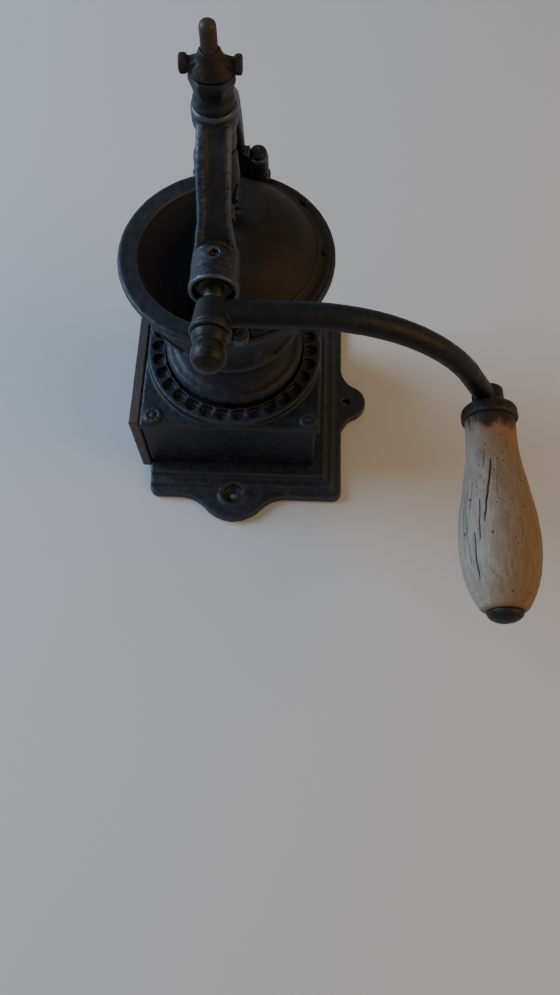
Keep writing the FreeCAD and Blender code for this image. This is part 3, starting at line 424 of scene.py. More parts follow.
def metal(name, dark, light, worn, rust, wear=0.5, rusting=0.5, rough=(0.35, 0.6), metallic=0.12,
          grain=0.3, edge_from=0.12, gloss=0.3, dust_and_painted_light=None):
    """Old iron or steel: mottled skin, brown patches, rubbed edges, dirty hollows and a cast grain.

    Where the mesh marks it, the skin takes a given paler colour: dust and rubbing on the drawer's rim,
    painted light on the bowl's inner faces.
    """
    material, add = shader(name)
    place = add("TexCoord").outputs["Object"]
    edge = add("Attribute", attribute_name="edge").outputs["Fac"]
    broad = noise(add, place, 26, 3)
    mottle = noise(add, place, 4.5, 5)
    fine = noise(add, place, 0.9, 6, 0.65)
    # skin and its brown patches
    tone = blend(add, between(add, mottle, 0.35, 0.7), dark, light)
    patch = added(add, times(add, broad, 0.65), times(add, mottle, 0.35))
    rusty = times(add, between(add, patch, 0.62 - 0.22 * rusting, 0.74 - 0.16 * rusting),
                  between(add, fine, 0.3, 0.6))
    tone = blend(add, times(add, rusty, min(1.0, 0.35 + rusting)), tone, rust)
    # dirt in the hollows
    hollow = between(add, edge, -0.1, -0.5)
    dirt = tuple(0.5 * r + 0.5 * k for r, k in zip(rust, dark))
    tone = blend(add, times(add, hollow, 0.45), tone, dirt)
    # rubbed edges, broken up by the noises
    rubbed = added(add, edge, times(add, less(add, fine, 0.5), 0.9))
    rubbed = added(add, rubbed, times(add, less(add, broad, 0.5), 0.8))
    rubbed = times(add, between(add, rubbed, edge_from, edge_from + 0.45), wear)
    colour = blend(add, rubbed, tone, worn)
    # a paler colour where the mesh marks it: dust and rubbing on the drawer's rim, painted light on the
    # bowl's inner faces
    if dust_and_painted_light:
        dust_and_light_mask = add("Attribute", attribute_name="dust_and_painted_light").outputs["Fac"]
        colour = blend(add, times(add, dust_and_light_mask, between(add, fine, 0.2, 0.6, 0.8, 1.0)), colour, dust_and_painted_light)
    # rust is duller, rubbed metal is smoother and barer
    shine = between(add, mottle, 0.3, 0.7, rough[0], rough[1])
    shine = added(add, shine, times(add, rusty, 0.22))
    shine = less(add, shine, times(add, rubbed, 0.12), clamp=True)
    bare = added(add, metallic, times(add, rubbed, 0.6), clamp=True)
    relief = added(add, times(add, fine, 0.7), times(add, mottle, 0.9))
    relief = added(add, relief, times(add, rusty, 0.3))
    bump = add("Bump", {"Height": relief, "Distance": 0.25 * MM, "Strength": grain})
    surface = add("BsdfPrincipled", {"Base Color": colour, "Roughness": shine, "Metallic": bare,
                                     "Normal": bump.outputs[0], "Specular IOR Level": gloss})
    add("OutputMaterial", {"Surface": surface.outputs[0]})
    return material


def wood(name):
    """Bare hardwood: tan, paler on the left (partly bleached, partly painted light of the window side),
    with long grain, pits and a dark band at the ferrule.
    """
    material, add = shader(name)
    place = add("TexCoord").outputs["Object"]
    parts = add("SeparateXYZ", {0: place})
    along = parts.outputs["Y"]  # runs from the grip's end, at -0.162, to the ferrule, at -0.073
    crack = add("Attribute", attribute_name="crack").outputs["Fac"]
    broad = noise(add, place, 24, 3)
    grain = noise(add, place, 1.5, 6, 0.65, (1, 0.09, 1))
    fibre = noise(add, place, 0.45, 5, 0.7, (1, 0.05, 1))
    blotch = noise(add, place, 6, 5, 0.6, (1, 0.5, 1))
    streak = between(add, grain, 0.3, 0.7)
    # tan wood with warm blotches
    tone = blend(add, streak, (0.175, 0.120, 0.070), (0.245, 0.178, 0.108))
    tone = blend(add, times(add, between(add, blotch, 0.5, 0.72), 0.55), tone, (0.30, 0.185, 0.085))
    # paler on the left: partly bleached wood, partly painted light of the window side
    side = added(add, parts.outputs["X"], times(add, less(add, blotch, 0.5), 0.012))
    bleached_and_lit = between(add, side, PIN_X * MM - 0.001, PIN_X * MM - 0.011)
    pale = blend(add, streak, (0.270, 0.215, 0.170), (0.400, 0.335, 0.275))
    tone = blend(add, times(add, bleached_and_lit, 0.85), tone, pale)
    # brown clouds, dark fibres and hair cracks
    tone = blend(add, times(add, between(add, broad, 0.56, 0.75), 0.35), tone, (0.135, 0.082, 0.042))
    tone = blend(add, times(add, between(add, fibre, 0.56, 0.74), 0.3), tone, (0.075, 0.056, 0.038))
    hair = noise(add, place, 1.1, 4, 0.55, (1, 0.035, 1))
    hair = times(add, between(add, hair, 0.655, 0.70),
                 between(add, noise(add, place, 11, 3), 0.48, 0.6))
    tone = blend(add, times(add, hair, added(add, 0.35, times(add, bleached_and_lit, 0.4))), tone,
                 (0.022, 0.018, 0.014))
    # pinholes
    pits = add("TexVoronoi", {"Vector": place, "Scale": 1 / (2.9 * MM)})
    pit = times(add, between(add, pits.outputs["Distance"], 0.15, 0.08),
                between(add, noise(add, place, 7, 2), 0.47, 0.54))
    tone = blend(add, times(add, pit, 0.8), tone, (0.018, 0.014, 0.010))
    # red patch, and a band darkened to near black next to the ferrule, both least on the paler left side
    warm = times(add, between(add, along, -0.100, -0.082), between(add, blotch, 0.35, 0.6))
    warm = times(add, warm, less(add, 0.6, times(add, bleached_and_lit, 0.6)))
    tone = blend(add, warm, tone, (0.30, 0.125, 0.055))
    uneven = times(add, less(add, blotch, 0.5), 1.5)
    uneven = less(add, uneven, times(add, bleached_and_lit, 0.3))
    ferrule_dark_band = added(add, between(add, along, -0.0885, -0.0745), uneven)
    tone = blend(add, times(add, between(add, ferrule_dark_band, 0.35, 1.0), 0.93), tone, (0.016, 0.012, 0.009))
    tone = blend(add, crack, tone, (0.010, 0.008, 0.006))
    rough = between(add, grain, 0.3, 0.7, 0.62, 0.82)
    relief = added(add, times(add, grain, 0.8), times(add, fibre, 0.5))
    relief = less(add, relief, added(add, hair, pit))
    bump = add("Bump", {"Height": relief, "Distance": 0.3 * MM, "Strength": 0.4})
    surface = add("BsdfPrincipled", {"Base Color": tone, "Roughness": rough, "Normal": bump.outputs[0],
                                     "Specular IOR Level": 0.3})
    add("OutputMaterial", {"Surface": surface.outputs[0]})
    return material


# by slot name; bowl, foot and drawer iron and acorn and nut steel are variants for single pieces
LOOKS = {
    "black_iron": metal("black_iron", (0.0118, 0.0136, 0.0205), (0.0190, 0.0220, 0.0320),
                        (0.068, 0.082, 0.108), (0.034, 0.029, 0.026), wear=0.3, rusting=0.15,
                        rough=(0.42, 0.58), gloss=0.38),
    # bowl iron: its last, paler colour is painted light on the bowl's inner faces
    "bowl_iron": metal("bowl_iron", (0.0118, 0.0136, 0.0205), (0.0190, 0.0220, 0.0320),
                       (0.068, 0.082, 0.108), (0.034, 0.029, 0.026), wear=0.3, rusting=0.15,
                       rough=(0.42, 0.58), gloss=0.38, dust_and_painted_light=(0.085, 0.090, 0.110)),
    "foot_iron": metal("foot_iron", (0.0160, 0.0182, 0.0260), (0.0255, 0.0295, 0.0415),
                       (0.085, 0.098, 0.120), (0.040, 0.034, 0.030), wear=0.35, rusting=0.15,
                       rough=(0.42, 0.58), gloss=0.4),
    "drawer_iron": metal("drawer_iron", (0.0100, 0.0116, 0.0175), (0.0160, 0.0186, 0.0270),
                         (0.210, 0.175, 0.160), (0.032, 0.028, 0.025), wear=0.9, rusting=0.15,
                         rough=(0.46, 0.62), gloss=0.26, edge_from=0.04, dust_and_painted_light=(0.085, 0.074, 0.070)),
    # bridge iron: its rubbed-edge colour, bluer and brighter than on the other iron, is partly rubbed metal
    # and partly a painted bluish highlight of the window light on the arms' ridges
    "bridge_iron": metal("bridge_iron", (0.0085, 0.0098, 0.0138), (0.0160, 0.0182, 0.0250),
                         (0.120, 0.148, 0.205), (0.034, 0.025, 0.020), wear=0.5, rusting=0.25,
                         rough=(0.38, 0.52), edge_from=0.14, grain=0.2, gloss=0.45),
    "hood_iron": metal("hood_iron", (0.0125, 0.0123, 0.0135), (0.0215, 0.0203, 0.0200),
                       (0.060, 0.058, 0.056), (0.050, 0.036, 0.024), wear=0.25, rusting=0.35,
                       rough=(0.52, 0.68)),
    "crank_iron": metal("crank_iron", (0.0050, 0.0058, 0.0086), (0.0090, 0.0101, 0.0140),
                        (0.055, 0.060, 0.070), (0.022, 0.018, 0.014), wear=0.3, rusting=0.12,
                        rough=(0.42, 0.54), grain=0.12, gloss=0.32),
    "ferrule_iron": metal("ferrule_iron", (0.014, 0.011, 0.0105), (0.030, 0.022, 0.019),
                          (0.070, 0.060, 0.054), (0.046, 0.026, 0.017), wear=0.4, rusting=0.5,
                          rough=(0.48, 0.64)),
    "cap_iron": metal("cap_iron", (0.012, 0.011, 0.013), (0.020, 0.019, 0.021), (0.055, 0.052, 0.050),
                      (0.026, 0.018, 0.014), wear=0.3, rusting=0.15, rough=(0.42, 0.58), grain=0.2),
    "dark_steel": metal("dark_steel", (0.0095, 0.0092, 0.0112), (0.018, 0.0175, 0.0205),
                        (0.085, 0.090, 0.104), (0.034, 0.024, 0.019), wear=0.28, rusting=0.4,
                        rough=(0.40, 0.56), metallic=0.25),
    "acorn_steel": metal("acorn_steel", (0.0070, 0.0068, 0.0080), (0.012, 0.0115, 0.013),
                         (0.060, 0.060, 0.066), (0.022, 0.017, 0.014), wear=0.22, rusting=0.2,
                         rough=(0.36, 0.50), metallic=0.15, grain=0.2),
    "nut_steel": metal("nut_steel", (0.0125, 0.0108, 0.0095), (0.026, 0.0215, 0.0175),
                       (0.085, 0.078, 0.070), (0.045, 0.029, 0.018), wear=0.25, rusting=0.6,
                       rough=(0.44, 0.60), metallic=0.2, grain=0.2),
    "rusty_steel": metal("rusty_steel", (0.017, 0.0135, 0.0125), (0.036, 0.0265, 0.021),
                         (0.13, 0.11, 0.095), (0.060, 0.034, 0.019), wear=0.4, rusting=0.7,
                         rough=(0.45, 0.62), metallic=0.35),
    "steel": metal("steel", (0.060, 0.058, 0.055), (0.15, 0.145, 0.138), (0.34, 0.33, 0.32),
                   (0.08, 0.05, 0.03), wear=0.5, rusting=0.35, rough=(0.32, 0.5), metallic=0.7, grain=0.15),
    "burr_iron": metal("burr_iron", (0.025, 0.024, 0.024), (0.055, 0.052, 0.050), (0.14, 0.135, 0.13),
                       (0.05, 0.03, 0.02), wear=0.6, rusting=0.5, rough=(0.45, 0.62), metallic=0.5),
    "brass": metal("brass", (0.035, 0.026, 0.014), (0.085, 0.062, 0.028), (0.26, 0.20, 0.09),
                   (0.03, 0.022, 0.014), wear=0.5, rusting=0.6, rough=(0.4, 0.6), metallic=0.6, grain=0.12),
    "sheet_steel": metal("sheet_steel", (0.07, 0.07, 0.07), (0.15, 0.15, 0.148), (0.26, 0.26, 0.25),
                         (0.075, 0.05, 0.032), wear=0.5, rusting=0.5, rough=(0.42, 0.58), metallic=0.6,
                         grain=0.15),
    "grip_wood": wood("grip_wood"),
}


def dress_nodes():
    """Every CAD node gets the procedural look of its slot; the ones replaced later are hidden anyway."""
    for node in nodes.values():
        for holder in node.material_slots:
            base = holder.material.name.split(".")[0] if holder.material else ""
            holder.material = LOOKS.get(base, LOOKS["black_iron"])


# ---------------------------------------------------------------- cast pieces taken from the frame

def skinned(name, solids, voxel, body, slot_name, *replaced, relax=2, grain=None, spread=3, look=None):
    """One skin over closed forms that run into each other; its look is the slot's if none is named."""
    piece = remeshed(joined(name, solids), voxel, relax)
    if grain:
        rough_cast(piece, *grain)
    mark_edges(piece, spread)
    smooth_shaded(piece)
    return finished(piece, body, slot_name, LOOKS[look or slot_name], *replaced)


def cast(name, body, voxel, slot_name="black_iron", grain=(3.0, 0.35), **more):
    """A casting: the frame's own shape under a softened, slightly uneven skin."""
    return skinned(name + "_look", [copy_of(name)], voxel, body, slot_name, name, grain=grain, **more)


def make_castings():
    """The frame's own shapes, softened; the foot plate most, since it is the most worn."""
    cast("foot_plate", "mill", 0.8, relax=5, look="foot_iron")
    cast("box_casting", "mill", 0.8, relax=3)
    mark_inside(cast("hopper_bowl", "mill", 0.75, grain=(4.0, 0.4), look="bowl_iron"))
    cast("hood", "mill", 0.6, grain=(7.0, 0.25), slot_name="hood_iron")
    mark_rim(cast("drawer_front", "drawer", 0.55, look="drawer_iron"))


def make_rosettes():
    """A small flower in each corner of the deck: eight petals round a sunken eye."""
    steps, petals = 96, 8
    parting = 0.35 / 0.12  # depth between the petals for each part of lobes
    corner, deck = 42.6, 57.0

    def petal(angle):
        return abs(math.cos(petals * angle / 2))

    rings = []
    # radius, height and how far the petals part
    for r, h, lobes in ((5.3, -1.2, 0.10), (5.3, 0.5, 0.12), (4.7, 1.35, 0.14), (3.6, 1.7, 0.12),
                        (2.6, 1.25, 0.05), (2.0, 0.75, 0), (1.7, 1.3, 0), (1.1, 1.8, 0), (0.001, 1.95, 0)):
        rings.append(ring_of(steps, lambda angle: r * (1 - lobes + lobes * petal(angle) ** 0.7),
                             lambda angle: h - parting * lobes * (1 - petal(angle) ** 0.5)))
    for n, (x, y) in enumerate(((-1, -1), (1, -1), (1, 1), (-1, 1)), start=1):
        piece = moved(loft_rings(f"rosette_{n}", rings), shift(corner * x, corner * y, deck))
        mark_edges(piece, 1)
        smooth_shaded(piece, 50)
        finished(piece, "mill", "black_iron", LOOKS["black_iron"])


# ---------------------------------------------------------------- bridge, collar, wing nut and stud

def arm_section(half, thick, ridge, grooved):
    """Across and up points of an arm's section: a ridge along each edge of its face, if it is grooved."""
    if not grooved:
        return rounded([(-half, -thick), (half, -thick), (half, thick), (-half, thick)], 2.6, steps=5)
    return rounded([(-half + 1.6, -thick, 1.6), (half - 1.6, -thick, 1.6), (half, -0.3, 1.5),
                    (half, thick - 0.8, 1.0), (half - 1.4, thick - 0.1, 0.9),
                    (half - 3.0, thick - ridge, 1.8), (-half + 5.6, thick - ridge, 2.6),
                    (-half + 3.0, thick + 0.5, 2.6), (-half, thick - 0.4, 1.8), (-half, -0.3, 1.5)], 1.0,
                    steps=4)


def make_bridge():
    """Boss, two arms, the bearing housing with its web, and the feet with their lugs."""
    low, foot_top = 140.22, 143.6  # underside of the feet and top of their flanges
    boss = lathe("boss", [(6.6, 203.4), (7.4, 203), (7.8, 204), (7.8, 212), (8.8, 214.2), (8.9, 215.5),
                          (8.9, 221), (8.3, 221.9), (6.6, 221.9)])
    front_path = smooth_path([(0, -2.5, 213.6), (0, -8.5, 212.2), (0, -17.8, 206.2), (0, -25.4, 196.8),
                              (0, -30.6, 187.6), (0, -33.4, 180)], 7)
    front = swept("front_arm", front_path,
                  lambda t: arm_section(6.7 + 2.2 * max(0, t - 0.72) / 0.28, 6.4 - 3.0 * min(1, 2 * t),
                                        0.4, True))
    cut_away(front, bore(SPINDLE_BORE, 190, 230))
    back_path = smooth_path([(0, 5, 209.6), (0, 11, 209), (0, 25, 203.6), (0, 36.5, 192), (0, 43, 176),
                             (0, 46, 160), (0, 46.6, 144)], 6)
    back = swept("back_arm", back_path, lambda t: arm_section(5.6 + 1.6 * t, 4.6 - 1.0 * t, 0, False))
    cut_away(back, bore(SPINDLE_BORE, 190, 230))
    housing = lathe("housing", [(6.6, 30.6), (8.4, 30.8), (9.6, 32.4), (9.9, 38), (9.9, 45), (10.3, 49.6),
                                (10.3, 51.2), (9.9, 51.95), (9.0, 51.9), (8.6, 51.0), (8.5, 48.4),
                                (7.6, 47.8), (6.6, 47.8)], place=ON_SHAFT)
    oil = lathe("oil", [(0, 184.4), (1.5, 184.6), (1.9, 186.0), (2.5, 187.4), (2.5, 196), (0, 196)],
                24, shift(0, -39.4))
    cut_away(housing, oil)
    web = prism("web", rounded([(-50.6, 142), (-49.4, 171), (-37, 171), (-39, 161), (-43.6, 142)], 1.5),
                -4.6, 4.6, SIDEWAYS)
    front_foot = prism("front_foot", rounded([(-13, -51), (13, -51), (13, -44), (-13, -44)], 2.6),
                       low, foot_top)
    lumps = [lathe("lump", [(0, low), (4.4, low), (4.3, foot_top - 0.3), (3.8, foot_top + 0.1),
                            (0, foot_top + 0.1)], 32, shift(8.6 * side, -47.6)) for side in (-1, 1)]
    back_foot = prism("back_foot", rounded([(-19, 42.4), (19, 42.4), (19, 50.4), (-19, 50.4)], 3),
                      low, foot_top)
    pillars = [lathe("pillar", [(0, low), (5.2, low), (4.9, 144), (4.8, 153.6), (4.4, 155), (0, 155)],
                     40, shift(LUG_X * side, LUG_Y)) for side in (-1, 1)]
    lugs = prism("lugs", rounded([(-12.5, 43.4), (12.5, 43.4), (12.5, 49.4), (-12.5, 49.4)], 2.4),
                 low, 153.2)
    shoulder = prism("shoulder", rounded([(-9.4, 43.0), (9.4, 43.0), (9.4, 49.4), (-9.4, 49.4)], 1.2),
                     low, 157.5)
    solids = [boss, front, back, housing, web, front_foot, back_foot, lugs, shoulder, *lumps, *pillars]
    skinned("bridge_look", solids, 0.5, "mill", "bridge_iron", "bridge", grain=(2.4, 0.35))


def slotted_screw(x, y, low, seat, top, radius, turn):
    """A screw whose domed head has a slot turned by so many degrees."""
    dome = top - seat
    head = lathe("screw", [(0, low), (1.9, low), (1.9, seat), (radius - 0.2, seat), (radius, seat + 0.3),
                           (radius, seat + 0.3 + 0.3 * dome), (0.86 * radius, seat + 0.78 * dome),
                           (0.55 * radius, top - 0.12), (0, top)], 48)
    slot = prism("slot", [(-0.4, -9), (0.4, -9), (0.4, 9), (-0.4, 9)], top - 0.5, top + 1)
    moved(slot, Matrix.Rotation(math.radians(turn), 4, "Z"))
    return moved(cut_away(head, slot), shift(x, y))


def make_bridge_screws():
    """Two screws in the front foot and two on the lugs at the back."""
    tip = 136.4
    front, back = (143.72, 146.0, 3.4), (155.03, 158.2, 4.2)  # seat, top and radius of the heads
    screws = [slotted_screw(-8.6, -47.9, tip, *front, 20), slotted_screw(8.6, -47.9, tip, *front, -35),
              slotted_screw(-LUG_X, LUG_Y, tip, *back, 70), slotted_screw(LUG_X, LUG_Y, tip, *back, 15)]
    piece = joined("bridge_screws_look", screws)
    remeshed(piece, 0.3, 1)
    mark_edges(piece, 1)
    smooth_shaded(piece)
    finished(piece, "mill", "dark_steel", LOOKS["dark_steel"], "bridge_screws")


def make_thrust_collar():
    """Collar under the wing nut: round below, a groove, then six flats that open upwards."""
    steps, hole, low, top = 96, 4.06, 222.06, 234.7
    half = math.pi / 6  # half the angle of a flat
    soft = 0.015  # share of the radius by which the corners are blunt

    def hexagon(angle):
        return min(1.0, math.cos(half) / math.cos(angle % (2 * half) - half) + soft)

    rings = []
    # radius, height and how far the flats have opened
    for r, h, flat in ((hole, low, 0), (7.4, low, 0), (7.9, 222.5, 0), (7.9, 224.4, 0), (7.5, 225.3, 0),
                       (7.1, 226.0, 0.1), (7.1, 226.6, 0.2), (7.7, 228.6, 0.6), (8.5, 230.6, 1),
                       (8.75, 231.6, 1), (8.75, 233.6, 1), (8.3, 234.4, 0.9), (7.4, top, 0.6),
                       (hole, top, 0)):
        rings.append(ring_of(steps, lambda angle: r * (1 - flat + flat * hexagon(angle)), h))
    piece = loft_rings("thrust_collar_look", rings, closed=True)
    skinned("thrust_collar_look", [piece], 0.3, "mill", "dark_steel", "thrust_collar", grain=(1.8, 0.2),
            spread=2)


def make_wing_nut():
    """Low body with two arms, a cone round the stud and a thick button at each end."""
    low = 235.06
    cone = lathe("cone", [(0, low), (7.9, low), (8.3, low + 0.6), (8.1, low + 1.8), (6.9, low + 3.4),
                          (5.6, low + 4.8), (4.7, low + 6.4), (4.1, low + 8.0), (3.5, low + 8.9),
                          (0, low + 9.0)], 64)
    moved(cone, Matrix.Diagonal((1, 0.86, 1, 1)))
    cut_away(cone, bore(STUD_BORE, 230, 250))
    solids = [cone]
    for side in (-1, 1):
        rings = []
        # distance out, half width, and the heights of the arm's underside and top
        for x, half, bottom, top in ((3.6, 2.9, 0.0, 5.8), (5.4, 3.2, 0.1, 5.0), (7.2, 3.1, 0.4, 4.5),
                                     (8.6, 2.9, 0.8, 4.3), (9.8, 2.6, 0.9, 4.4)):
            ring = rounded([(-half, low + bottom), (half, low + bottom), (half - 0.4, low + top),
                            (-half + 0.4, low + top)], 1.2, steps=5)
            rings.append([(side * x, y, z) for y, z in ring])
        arm = loft_rings("arm", rings)
        solids.append(cut_away(arm, bore(STUD_BORE, 230, 250)))
        disc = lathe("disc", [(0, 8.4), (2.9, 8.4), (3.4, 9.0), (3.5, 10.0), (3.4, 10.9), (2.8, 11.35),
                              (1.7, 11.2), (0, 11.1)], 48)
        tilt = Matrix.Rotation(math.radians(90 * side), 4, "Y")
        solids.append(moved(disc, shift(0, 0, 237.85) @ tilt))
    skinned("wing_nut_look", solids, 0.28, "wing_nut", "dark_steel", "wing_nut", grain=(1.6, 0.25), relax=7,
            look="nut_steel")


def make_spindle():
    """Plain shaft with a worn thread above its shoulder."""
    steps, pitch, thread = 64, 1.25, 0.09
    dome, rise = 2.6, 0.13  # height of the rounded end, and of one row of points
    rows = [(0, 47.6), (3.6, 47.6), (4, 48), (4, 120), (4, 234.0), (3.9, 234.4)]
    rings = [ring_of(steps, r, h) for r, h in rows]
    height = 234.5
    while height < STUD_TOP:
        fall = max(0.0, height - (STUD_TOP - dome)) / dome

        def radius(angle):
            wave = 0.5 - 0.5 * math.cos(2 * math.pi * height / pitch - angle)
            return (STUD_R - thread * wave * (1 - fall)) * math.sqrt(max(0.0, 1 - fall ** 2.4))

        rings.append(ring_of(steps, radius, height))
        height += rise
    rings.append(ring_of(steps, 0, STUD_TOP))
    piece = loft_rings("spindle_look", rings)
    mark_edges(piece, 1)
    smooth_shaded(piece, 60)
    finished(piece, "spindle", "rusty_steel", LOOKS["rusty_steel"], "spindle")


# ---------------------------------------------------------------- crank

def make_crank_arm():
    """Hub, round arm that bends down to the right, and the eye for the pin."""
    hub = lathe("hub", [(0, 57.0), (5.9, 57.0), (6.6, 57.8), (6.9, 60), (7.4, 64), (7.9, 67.4), (8.0, 68.6),
                        (7.8, 69.45), (0, 69.45)], place=ON_SHAFT)
    straight, bend, turn = 38.0, 88.0, math.radians(54)  # length, then radius and angle of the bend
    plane = -61.2
    arc_steps, corners = 24, 40
    path = [(2 + 6 * n, plane, AXIS) for n in range(6)]
    for n in range(arc_steps + 1):
        angle = turn * n / arc_steps
        path.append((straight + bend * math.sin(angle), plane, AXIS + bend * (math.cos(angle) - 1)))
    last = path[-1]
    path += [tuple(a + (b - a) * n / 3 for a, b in zip(last, (PIN_X, plane, PIN_Z))) for n in (1, 2, 3)]
    ring = [2 * math.pi * k / corners for k in range(corners)]

    def section(t):
        across = 5.9 - 1.1 * min(1.0, t * 1.1)  # thinner towards the handle
        return [(across * math.cos(a), (across - 0.5 * (1 - t)) * math.sin(a)) for a in ring]

    arm = swept("arm", path, section, side=(0, 1, 0))
    eye = lathe("eye", [(0, 56.45), (6.2, 56.45), (7.0, 57.2), (7.2, 58.8), (7.2, 64.0), (6.9, 65.4),
                        (6.1, 65.95), (0, 65.95)], place=ON_PIN)
    skinned("crank_arm_look", [hub, arm, eye], 0.45, "crank", "crank_iron", "crank_arm", grain=(3.0, 0.2))


def make_crank_nut():
    """Washer and domed nut on the end of the crank shaft."""
    washer = lathe("crank_washer_look", [(3.6, 69.53), (8.0, 69.53), (8.6, 70.0), (8.6, 70.9), (8.0, 71.6),
                                         (7.2, 71.7), (3.6, 71.7)], place=ON_SHAFT)
    skinned("crank_washer_look", [washer], 0.25, "crank", "dark_steel", "crank_washer", relax=1, spread=2)
    nut = lathe("acorn_nut_look", [(0, 71.76), (7.1, 71.76), (7.5, 72.2), (7.4, 73.2), (6.9, 75.0),
                                   (6.1, 76.4), (6.0, 77.0), (6.6, 78.2), (7.1, 79.8), (7.25, 81.2),
                                   (7.0, 83.0), (6.2, 85.0), (4.6, 86.8), (2.4, 87.75), (0, 88.0)],
                place=ON_SHAFT)
    skinned("acorn_nut_look", [nut], 0.3, "crank", "dark_steel", "acorn_nut", grain=(2.2, 0.25),
            look="acorn_steel")


# ---------------------------------------------------------------- handle

def make_pin_end():
    """The handle's pin: a riveted head behind the crank's eye, and a collar in front of it."""
    pin = lathe("handle_pin_look", [(0, 54.4), (2.6, 54.7), (4.2, 55.4), (4.6, 56.4), (3.48, 56.4),
                                    (3.48, 66.05), (5.8, 66.05), (5.8, 66.5), (3.48, 66.5), (3.48, 165.4),
                                    (0, 165.4)], 64, ON_PIN)
    mark_edges(pin, 1)
    smooth_shaded(pin, 40)
    finished(pin, "crank", "crank_iron", LOOKS["crank_iron"], "handle_pin")


def make_ferrule():
    """Beaded ring between the crank's eye and the grip."""
    ring = lathe("ferrule_look", [(3.6, 66.8), (10.4, 66.8), (11.9, 67.4), (12.6, 68.8), (12.7, 70.4),
                                  (12.8, 72.4), (12.4, 73.4), (11.6, 73.7), (10.3, 73.7), (10.3, 68.4),
                                  (3.6, 68.4)], 128, ON_PIN)
    skinned("ferrule_look", [ring], 0.35, "grip", "ferrule_iron", "ferrule", grain=(2.5, 0.35), spread=2)


def make_cap():
    """Dome that covers the front end of the pin."""
    dome = lathe("handle_cap_look", [(0, 162.2), (7.5, 162.2), (7.8, 162.5), (7.75, 163.2), (7.1, 164.5),
                                     (5.9, 165.6), (4.2, 166.4), (2.2, 166.9), (0, 167.0)], 96, ON_PIN)
    skinned("handle_cap_look", [dome], 0.35, "crank", "cap_iron", "handle_cap", grain=(3.0, 0.3), spread=2)


# each crack: half width and depth in mm, then (angle from the top, distance along) points
CRACKS = [
    (0.28, 0.75, [(-20, 98), (-23, 104), (-28, 114), (-33, 125), (-34, 128)]),
    (0.19, 0.5, [(-40, 117), (-41, 123), (-42, 131), (-43, 136)]),
    (0.22, 0.55, [(-50, 132), (-51, 137), (-52, 143), (-53, 151)]),
    (0.12, 0.25, [(-57, 106), (-56, 112), (-58, 121)]),
    (0.14, 0.3, [(-66, 112), (-67, 120), (-65, 129), (-66, 133)]),
    (0.11, 0.25, [(-72, 114), (-73, 122), (-72, 133)]),
    (0.10, 0.22, [(-62, 124), (-63, 134), (-62, 146)]),
    (0.10, 0.2, [(-33, 92), (-34, 97), (-33, 102)]),
    (0.09, 0.2, [(-12, 106), (-13, 112), (-12, 119)]),
    (0.09, 0.2, [(16, 124), (17, 131), (16, 138)]),
    (0.20, 0.4, [(120, 96), (122, 108), (119, 121), (120, 128)]),
    (0.12, 0.3, [(160, 118), (161, 130), (159, 144)]),
    (0.13, 0.3, [(-130, 104), (-128, 116), (-129, 127)]),
    (0.10, 0.25, [(75, 100), (76, 110), (74, 122)]),
]
# each pit: radius, depth, angle and distance
PITS = [
    (0.75, 0.5, -59, 116), (0.6, 0.45, -24, 133), (0.4, 0.4, -8, 98), (0.4, 0.35, -44, 100),
    (0.4, 0.35, -40, 106), (0.35, 0.35, 2, 86), (0.35, 0.35, 10, 92), (0.35, 0.35, 16, 90),
    (0.35, 0.35, 6, 95), (0.35, 0.35, -2, 80), (0.35, 0.3, 14, 104), (0.35, 0.3, 4, 99),
    (0.4, 0.35, 25, 121), (0.35, 0.3, 12, 128), (0.35, 0.3, 6, 118), (0.7, 0.4, -70, 131),
    (0.4, 0.35, 0, 157), (0.4, 0.35, -30, 90), (0.4, 0.35, 100, 112), (0.45, 0.4, 140, 136),
    (0.4, 0.35, -110, 123), (0.35, 0.3, -150, 102), (0.4, 0.35, 60, 140), (0.35, 0.3, 32, 108),
]


def grip_profile():
    """Radius and distance points of the turned grip's side, from under the ferrule to its end."""
    knots = [(11.2, 72.6), (11.3, 78), (11.4, 84), (11.8, 91), (12.7, 98), (14.1, 106), (15.7, 115),
             (16.9, 124), (17.3, 132), (16.9, 140), (15.6, 148), (13.1, 155.4), (10.3, 160.8)]
    return [(p[0], p[1]) for p in smooth_path([(r, h, 0) for r, h in knots], 20)]


def half_turn(angle):
    """The angle brought to between minus and plus half a turn."""
    return (angle + np.pi) % (2 * np.pi) - np.pi


def grip_marks(radius, angle, along):
    """How deep each point of the grip is sunk, in mm, and how dark it is, by the cracks and pits."""
    sunk, dark = np.zeros(len(radius)), np.zeros(len(radius))
    for width, depth, points in CRACKS:
        away = np.full(len(radius), HUGE)
        for (a0, h0), (a1, h1) in zip(points, points[1:]):
            t = np.clip((along - h0) / (h1 - h0), 0, 1)
            middle = np.radians(a0 + (a1 - a0) * t)
            middle += 0.12 * np.sin(along * 0.7 + a0) / np.maximum(radius, 5)  # wavers a little
            side = half_turn(angle - middle) * radius
            away = np.minimum(away, np.hypot(side, along - (h0 + (h1 - h0) * t)))
        start, end = points[0][1], points[-1][1]
        taper = np.clip(np.minimum(along - start, end - along) / 4.0 + 0.35, 0.35, 1)
        shape = np.exp(-(away / (width * taper + 0.05)) ** 2)
        sunk = np.maximum(sunk, depth * shape)
        dark = np.maximum(dark, np.clip(shape * 1.3, 0, 1) * min(1.0, 0.55 + depth))
    for width, depth, a, h in PITS:
        side = half_turn(angle - math.radians(a)) * radius
        shape = np.exp(-(np.hypot(side, along - h) / width) ** 4)
        sunk = np.maximum(sunk, depth * shape)
        dark = np.maximum(dark, 0.9 * shape)
    bare = (radius > 6) & (along > 74.5) & (along < 161.5)  # not under the ferrule or the cap
    return sunk * bare, dark * bare


